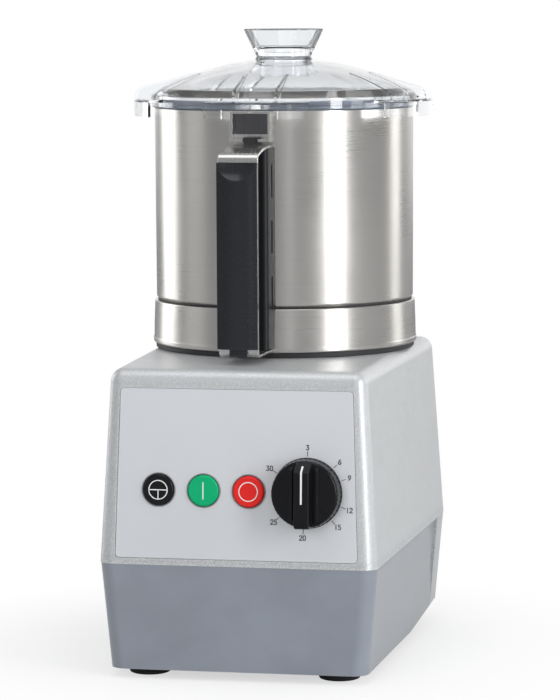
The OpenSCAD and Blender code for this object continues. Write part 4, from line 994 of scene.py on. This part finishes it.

# %% [markdown]
# ## Bowl
#
# The bowl is spun from sheet: a wall with a rolled rim, a round floor corner and a centre column that
# keeps food off the shaft. The skirt below it is a second spinning with a beaded foot. Spinning their
# outlines here repeats how they are made. A black ring in the joint between bowl and skirt is painted
# shade for the shaded gap there, and a rubber ring carries all.

# %% Bowl, skirt and rings
RIM_Z = 417.0
shell_line = fillet([(101, RIM_Z, 0.7), (100.5, 268.8, 2.2), (18.0, 268.8, 0.6), (16.5, 350, 0.5),
                     (18.0, 350, 0.7), (19.5, 270.3, 1.0), (99, 270.3, 10), (99.5, RIM_Z, 0.7)], 0, 8)
settle(revolve("shell", shell_line, 360), "bowl_shell", angle=35)
skirt_line = fillet([(61.2, 268.8, 0), (99, 268.8, 0), (99, 267.2, 0.2), (101.85, 267.2, 0.8),
                     (102.5, 250.6, 0), (102.75, 238.8, 0), (103.2, 237.6, 0.5), (103.2, 234.0, 1.5),
                     (97.5, 234.0, 0.5), (97.5, 265.7, 0.8), (61.2, 265.7, 0)], 0, 5)
settle(revolve("skirt", skirt_line, 360), "bowl_skirt", angle=35)
# Painted shade: a black ring set in the groove between shell and skirt, where the real joint is a
# shaded gap.
groove_shade_line = fillet([(98.0, 267.3, 0.2), (99.5, 267.3, 0.3), (99.5, 268.7, 0.3),
                    (98.0, 268.7, 0.2)], 0, 3)
groove_shade = revolve("painted_groove_shade", groove_shade_line, 360)
groove_shade.data.materials.append(seal_rubber)
groove_shade.data.shade_smooth()
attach(groove_shade, "bowl")
collar_line = fillet([(61.2, 244.2, 0.4), (62.7, 244.2, 0.6), (62.7, 265.7, 0),
                      (61.2, 265.7, 0)], 0, 4)
settle(revolve("collar", collar_line), "bowl_collar", angle=35)
ring_line = fillet([(95, 230, 0.5), (101.3, 230, 0.8), (101.3, 234, 0.5), (95, 234, 0.3)], 0, 4)
settle(revolve("ring", ring_line, 360), "bowl_foot_ring", angle=35)

# %% [markdown]
# ## Catch bracket
#
# A small steel bracket under the rim holds the lid's catch. It is a block with a pocket, a notch and
# a dip for the lug. A dark sheet in the pocket is painted shade, standing for the shade that falls
# inside it. The whole handle stands a little to the left of the front, so its pieces are drawn with
# -Y as the way out and turned as they are placed.

# %% Catch bracket and painted pocket shade
TURN = math.radians(-2.2)
HALF_HANDLE, WALL_R, BRACKET_R, POCKET_R = 15.5, 99.6, 112, 103


def at_handle(x, y, z):
    c, s = math.cos(TURN), math.sin(TURN)
    return at_axis(x * c - y * s, x * s + y * c, z)


def handle_prism(name, outline, low, high):
    """A prism across the handle from an outline of distance and height."""
    return loft(name, [[(u, -d, z) for d, z in outline] for u in (low, high)], at_handle)


def handle_box(name, x, y, z):
    outline = [(x[0], y[0]), (x[1], y[0]), (x[1], y[1]), (x[0], y[1])]
    return prism(name, outline, z[0], z[1], at_handle)


bracket = handle_box("bracket", (-HALF_HANDLE, HALF_HANDLE), (-BRACKET_R, -WALL_R), (394, RIM_Z))
cut(bracket, handle_box("pocket", (-13.5, 13.5), (-BRACKET_R - 1, -POCKET_R), (396, 415)),
    handle_box("notch", (-6, 6), (-BRACKET_R - 1, -POCKET_R), (393, 397)),
    loft("dip", [[(u, y, z) for u, z in circle(0, 418, 2.2, 32)] for y in (-113, -110)], at_handle))
settle(bracket, "catch_bracket", bevel=0.6)
# Painted shade: a dark steel sheet set in the pocket, where the real bracket is only shaded.
pocket_shade_line = fillet([(-13.3, 399.4), (13.3, 399.4), (13.3, 414.8), (-13.3, 414.8)], 0.6, 3)
pocket_shade = prism("painted_pocket_shade", pocket_shade_line, -103.4, -102.9, lambda u, v, w: at_handle(u, w, v))
pocket_shade.data.materials.append(dark_steel)
pocket_shade.data.shade_smooth()
pocket_shade.data.set_sharp_from_angle(angle=math.radians(30))
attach(pocket_shade, "bowl")

# %% [markdown]
# ## Handle strap
#
# The handle is one bent strap. It dips from the bowl to its outer end, folds down behind the grip and
# returns above the skirt's bead. A curve with a bevel rounds the strap's section, so the sheet is
# drawn as the outline of a line with thickness, which keeps its edges square.

# %% Strap
ARM_Z, LOW_ARM_Z, DIP_Z, DIP = 390.6, 236.4, 386.0, 4.6
BEND_X, BEND_R, UPPER_BEND, STRAP_HALF, SHEET_HALF = 145, 5, 75, 15.2, 1.0
dip_end = BEND_X + BEND_R * math.cos(math.radians(UPPER_BEND))
upper_z = DIP_Z - BEND_R * math.sin(math.radians(UPPER_BEND))
path = [(WALL_R, ARM_Z)]
path += [(112 + (dip_end - 112) * i / 20, ARM_Z - DIP * (i / 20) ** 2) for i in range(20)]
path += bow(BEND_X, upper_z, BEND_R, UPPER_BEND, 0)
path += bow(BEND_X, LOW_ARM_Z + BEND_R, BEND_R, 0, -90)
path.append((WALL_R, LOW_ARM_Z))


def strip(line, half):
    """The outline of a sheet of a given half thickness along a line."""
    sides = ([], [])
    for i, (x, z) in enumerate(line):
        a, b = Vector(line[max(i - 1, 0)]), Vector(line[min(i + 1, len(line) - 1)])
        way = (b - a).normalized()
        sides[0].append((x - way.y * half, z + way.x * half))
        sides[1].append((x + way.y * half, z - way.x * half))
    return sides[0] + sides[1][::-1]


strap = handle_prism("strap", strip(path, SHEET_HALF), -STRAP_HALF, STRAP_HALF)
settle(strap, "handle_strap", bevel=0.45, limit=50)

# %% [markdown]
# ## Grip and back plate
#
# A black grip covers the strap in front, with a bowed face and a scoop for the thumb, which is a ball
# cut out of it. Its other half closes it from behind, and a black plate with slots lies on the bowl.

# %% Grip and back plate
GRIP_LOW, GRIP_TOP, GRIP_BACK_Y, FACE_R, FACE_CENTRE = 242.0, 380.4, -151, 40, -117.5
SCOOP_R, SCOOP_WIDE, SCOOP_Y, SCOOP_Z = 20, 1.4, -171.65, 381.4
across = [HALF_HANDLE * k / 16 for k in range(16, -17, -1)]
face = [(x, FACE_CENTRE - math.sqrt(FACE_R ** 2 - x ** 2)) for x in across]
grip = prism("grip", [(-HALF_HANDLE, GRIP_BACK_Y), (HALF_HANDLE, GRIP_BACK_Y)] + face,
             GRIP_LOW, GRIP_TOP, at_handle)
join(grip, handle_box("tongue", (-6.75, 6.75), (-152.6, GRIP_BACK_Y), (LOW_ARM_Z, 243)))
ball = [(v, u) for u, v in bow(0, 0, SCOOP_R, 0, 180, 45)]
cut(grip, revolve("scoop", ball, 64, lambda u, v, w: at_handle(
    SCOOP_WIDE * u, v + SCOOP_Y, w + SCOOP_Z)))
settle(grip, "handle_grip", bevel=1.0, limit=35)
inner_line = fillet([(-15.6, -150, 0.4), (15.6, -150, 0.4), (13.5, -144, 2),
                     (-13.5, -144, 2)], 2.0, 5)
inner = prism("inner_grip", inner_line, GRIP_LOW, GRIP_TOP - 5, at_handle)
settle(inner, "grip_back", bevel=0.6, limit=50)

plate_line = fillet([(-13, -114, 4), (13, -114, 4), (16.1, -WALL_R, 0), (-16.1, -WALL_R, 0)], 0, 6)
plate = prism("plate", plate_line, 237.4, 389.6, at_handle)
for side in (-1, 1):
    wide = sorted((side * 12.6, side * 18))
    for top in (376.6, 334.6, 292.6):
        cut(plate, handle_box("slot", wide, (-105.8, -104.0), (top - 24.5, top)))
settle(plate, "handle_back", bevel=0.5, limit=40)

# %% [markdown]
# ## Blades and hub cap
#
# Two blades with curved tips sit on the hub, a quarter turn apart. Each arm is an outline as a share
# of the blade's reach, so one outline serves both. The bevel stands for the ground edge. A turned cap
# holds them down.

# %% Blades and cap
ARM = [(0.16, 0.30), (0.42, 0.22), (0.68, 0.10), (0.88, -0.06), (0.97, -0.22), (0.93, -0.32),
       (0.80, -0.22), (0.60, -0.12), (0.40, -0.12), (0.22, -0.24)]
BLADE_REACH, BLADE_THICK, BOSS_R, HUB_R = 93.0, 2.5, 27, 24


def blade(name, z, turn):
    """Two arms and a ring round the hub."""
    whole = rod(name, BOSS_R, z, z + BLADE_THICK)
    for a in (turn, turn + math.pi):
        arm = [(BLADE_REACH * (u * math.cos(a) - v * math.sin(a)),
                BLADE_REACH * (u * math.sin(a) + v * math.cos(a))) for u, v in fillet(ARM, 0.03, 4)]
        join(whole, prism("arm", arm, z, z + BLADE_THICK))
    return cut(whole, rod("bore", HUB_R, z - 1, z + BLADE_THICK + 1.5))


settle(blade("lower", 274.0, 0.0), "lower_blade", bevel=1.1, limit=50)
settle(blade("upper", 318.0, math.pi / 2), "upper_blade", bevel=1.1, limit=50)
cap_line = fillet([(24, 320.5, 0), (27, 320.5, 0.4), (27, 371, 1.0), (22, 379, 2.0), (17, 383, 1.5),
                   (0, 383, 0), (0, 371, 0), (24, 371, 0)], 0, 5)
settle(revolve("cap", cap_line, 128), "hub_cap", angle=35)

# %% [markdown]
# ## Lid
#
# The lid is one clear moulding: a domed shell, five lugs over the rim and two fins beside each lug.
# Separate pieces would look right in steel, but in glass the light refracts at every face between
# them, so they are united to one solid. The dome is part of a ball.

# %% Outlines of the lid
DOME_R, DOME_C, DOME_WALL, NECK_R, NECK_Z = 216.299, 238.501, 2.5, 19.8, 456.4
LUG_R, LUG_TOP, LUG_LOW, LUG_WALL, LUG_HALF, LUGS = 117.0, 424.0, 411, 2.2, 20, 5
RIM_R, RIM_IN_R, FIN_OFF, FIN_HALF, FIN_START, FIN_BEND = 103.8, 102.85, 16, 1.1, 0.63, 8


def dome_z(r, depth=0.0):
    """The height of the dome at a radius, or of a surface some depth under it."""
    return DOME_C + math.sqrt((DOME_R - depth) ** 2 - r * r)


def dome_line(depth, start, stop, steps=28):
    radii = [start + (stop - start) * i / steps for i in range(steps + 1)]
    return [(r, dome_z(r, depth), 0) for r in radii]


def fin_line(off):
    """The outline of a fin, in distance and height: from the dome over to the lug and back under."""
    reach = math.sqrt(LUG_R ** 2 - off ** 2) - 0.4
    shoulder = math.sqrt(RIM_IN_R ** 2 - off ** 2)
    start = FIN_START * RIM_R
    top = dome_z(math.hypot(start, off))
    upper = [(start, top - DOME_WALL / 2), (start + 2.5, top)]
    upper += bow(reach - FIN_BEND, LUG_TOP + 1.5, FIN_BEND, 75, 0, 15) + [(reach, LUG_TOP - 1.1)]
    lower = [(shoulder, LUG_TOP - 1.1), (shoulder, 425.3)]
    under = [95.8 - (95.8 - start) * i / 12 for i in range(13)]
    return upper + lower + [(v, dome_z(math.hypot(v, off), DOME_WALL / 2)) for v in under]


print("dome top", round(dome_z(0), 2), "mm above the floor")

# %% [markdown]
# The shell is spun first. A lug is a bent section swept round a part of the rim, and a fin is a flat
# sheet from the dome over to the lug. Both are drawn at the front and turned to their places.

# %% Lid in one piece
shell_line = fillet(
    [(NECK_R, NECK_Z, 0.3), (21.2, NECK_Z, 0.5)] + dome_line(0, 22.45, 99.8)
    + [(102.6, 427.7, 1.5), (RIM_R, 426.5, 1.5), (RIM_R, 418, 0.5), (101.9, 418, 0.3),
       (101.9, LUG_TOP, 0.2), (96.5, LUG_TOP, 0.5)] + dome_line(DOME_WALL, 94.4, NECK_R), 0, 3)
lid = revolve("lid_shell", shell_line, 360)
inner_r, under_z = LUG_R - LUG_WALL, LUG_TOP - LUG_WALL
lug_line = [(RIM_IN_R, under_z), (inner_r, under_z), (inner_r, LUG_LOW), (LUG_R, LUG_LOW)]
lug_line += bow(inner_r, under_z, LUG_WALL, 0, 90, 6) + [(RIM_IN_R, LUG_TOP)]
sweep = [math.radians(-90 - LUG_HALF + 2 * LUG_HALF * i / 32) for i in range(33)]
lug_rings = [[(r * math.cos(a), r * math.sin(a), z) for r, z in lug_line] for a in sweep]
for k in range(LUGS):
    def turned(x, y, z, c=math.cos(math.tau * k / LUGS), s=math.sin(math.tau * k / LUGS)):
        return at_axis(x * c - y * s, x * s + y * c, z)

    join(lid, loft("lug", lug_rings, turned))
    for off in (-FIN_OFF, FIN_OFF):
        sheet = [[(off + u, -d, z) for d, z in fin_line(off)] for u in (-FIN_HALF, FIN_HALF)]
        join(lid, loft("fin", sheet, turned))
cut(lid, handle_box("catch_room", (-21.5, 21.5), (-118, -RIM_R), (410, 418)))
settle(lid, "lid", angle=32)

# %% [markdown]
# ## Seal and feed cup
#
# A blue-grey seal lies under the rim and shows through it as a band. It ends a hair below the lid,
# so that the two never share a face. The cup is a funnel whose neck drops into the lid's hole.

# %% Seal and cup
seal_line = fillet([(96.9, 417, 0.5), (101.5, 417, 0.6), (101.5, 419, 0.2), (101.0, 419.5, 0.2),
                    (101.0, 420.3, 0.2), (101.5, 420.8, 0.2), (101.5, 423.95, 0.8),
                    (96.9, 423.95, 0.8)], 0, 4)
settle(revolve("seal_ring", seal_line, 360), "lid_seal", angle=35)
cup_line = fillet([(17.3, 440.4, 0.6), (19.4, 440.4, 0.6), (19.4, NECK_Z, 0), (21.2, NECK_Z, 0.3),
                   (30.9, 476.6, 0.4), (30.9, 477.6, 0.5), (28.8, 477.6, 0.6), (21.8, 463.9, 0.8),
                   (17.3, 463.3, 1.0)], 0, 5)
settle(revolve("cup", cup_line, 256), "feed_cup", angle=35)

# %% [markdown]
# ## Sizes and the close
#
# The pieces follow the CAD model's sizes, and the box round all that is shown is printed in
# millimetres. The shown model has to keep the CAD model's size.

# %% Sizes and the close
low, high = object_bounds()
print("shown size in mm:", [round((b - a) * 1000, 2) for a, b in zip(low, high)])
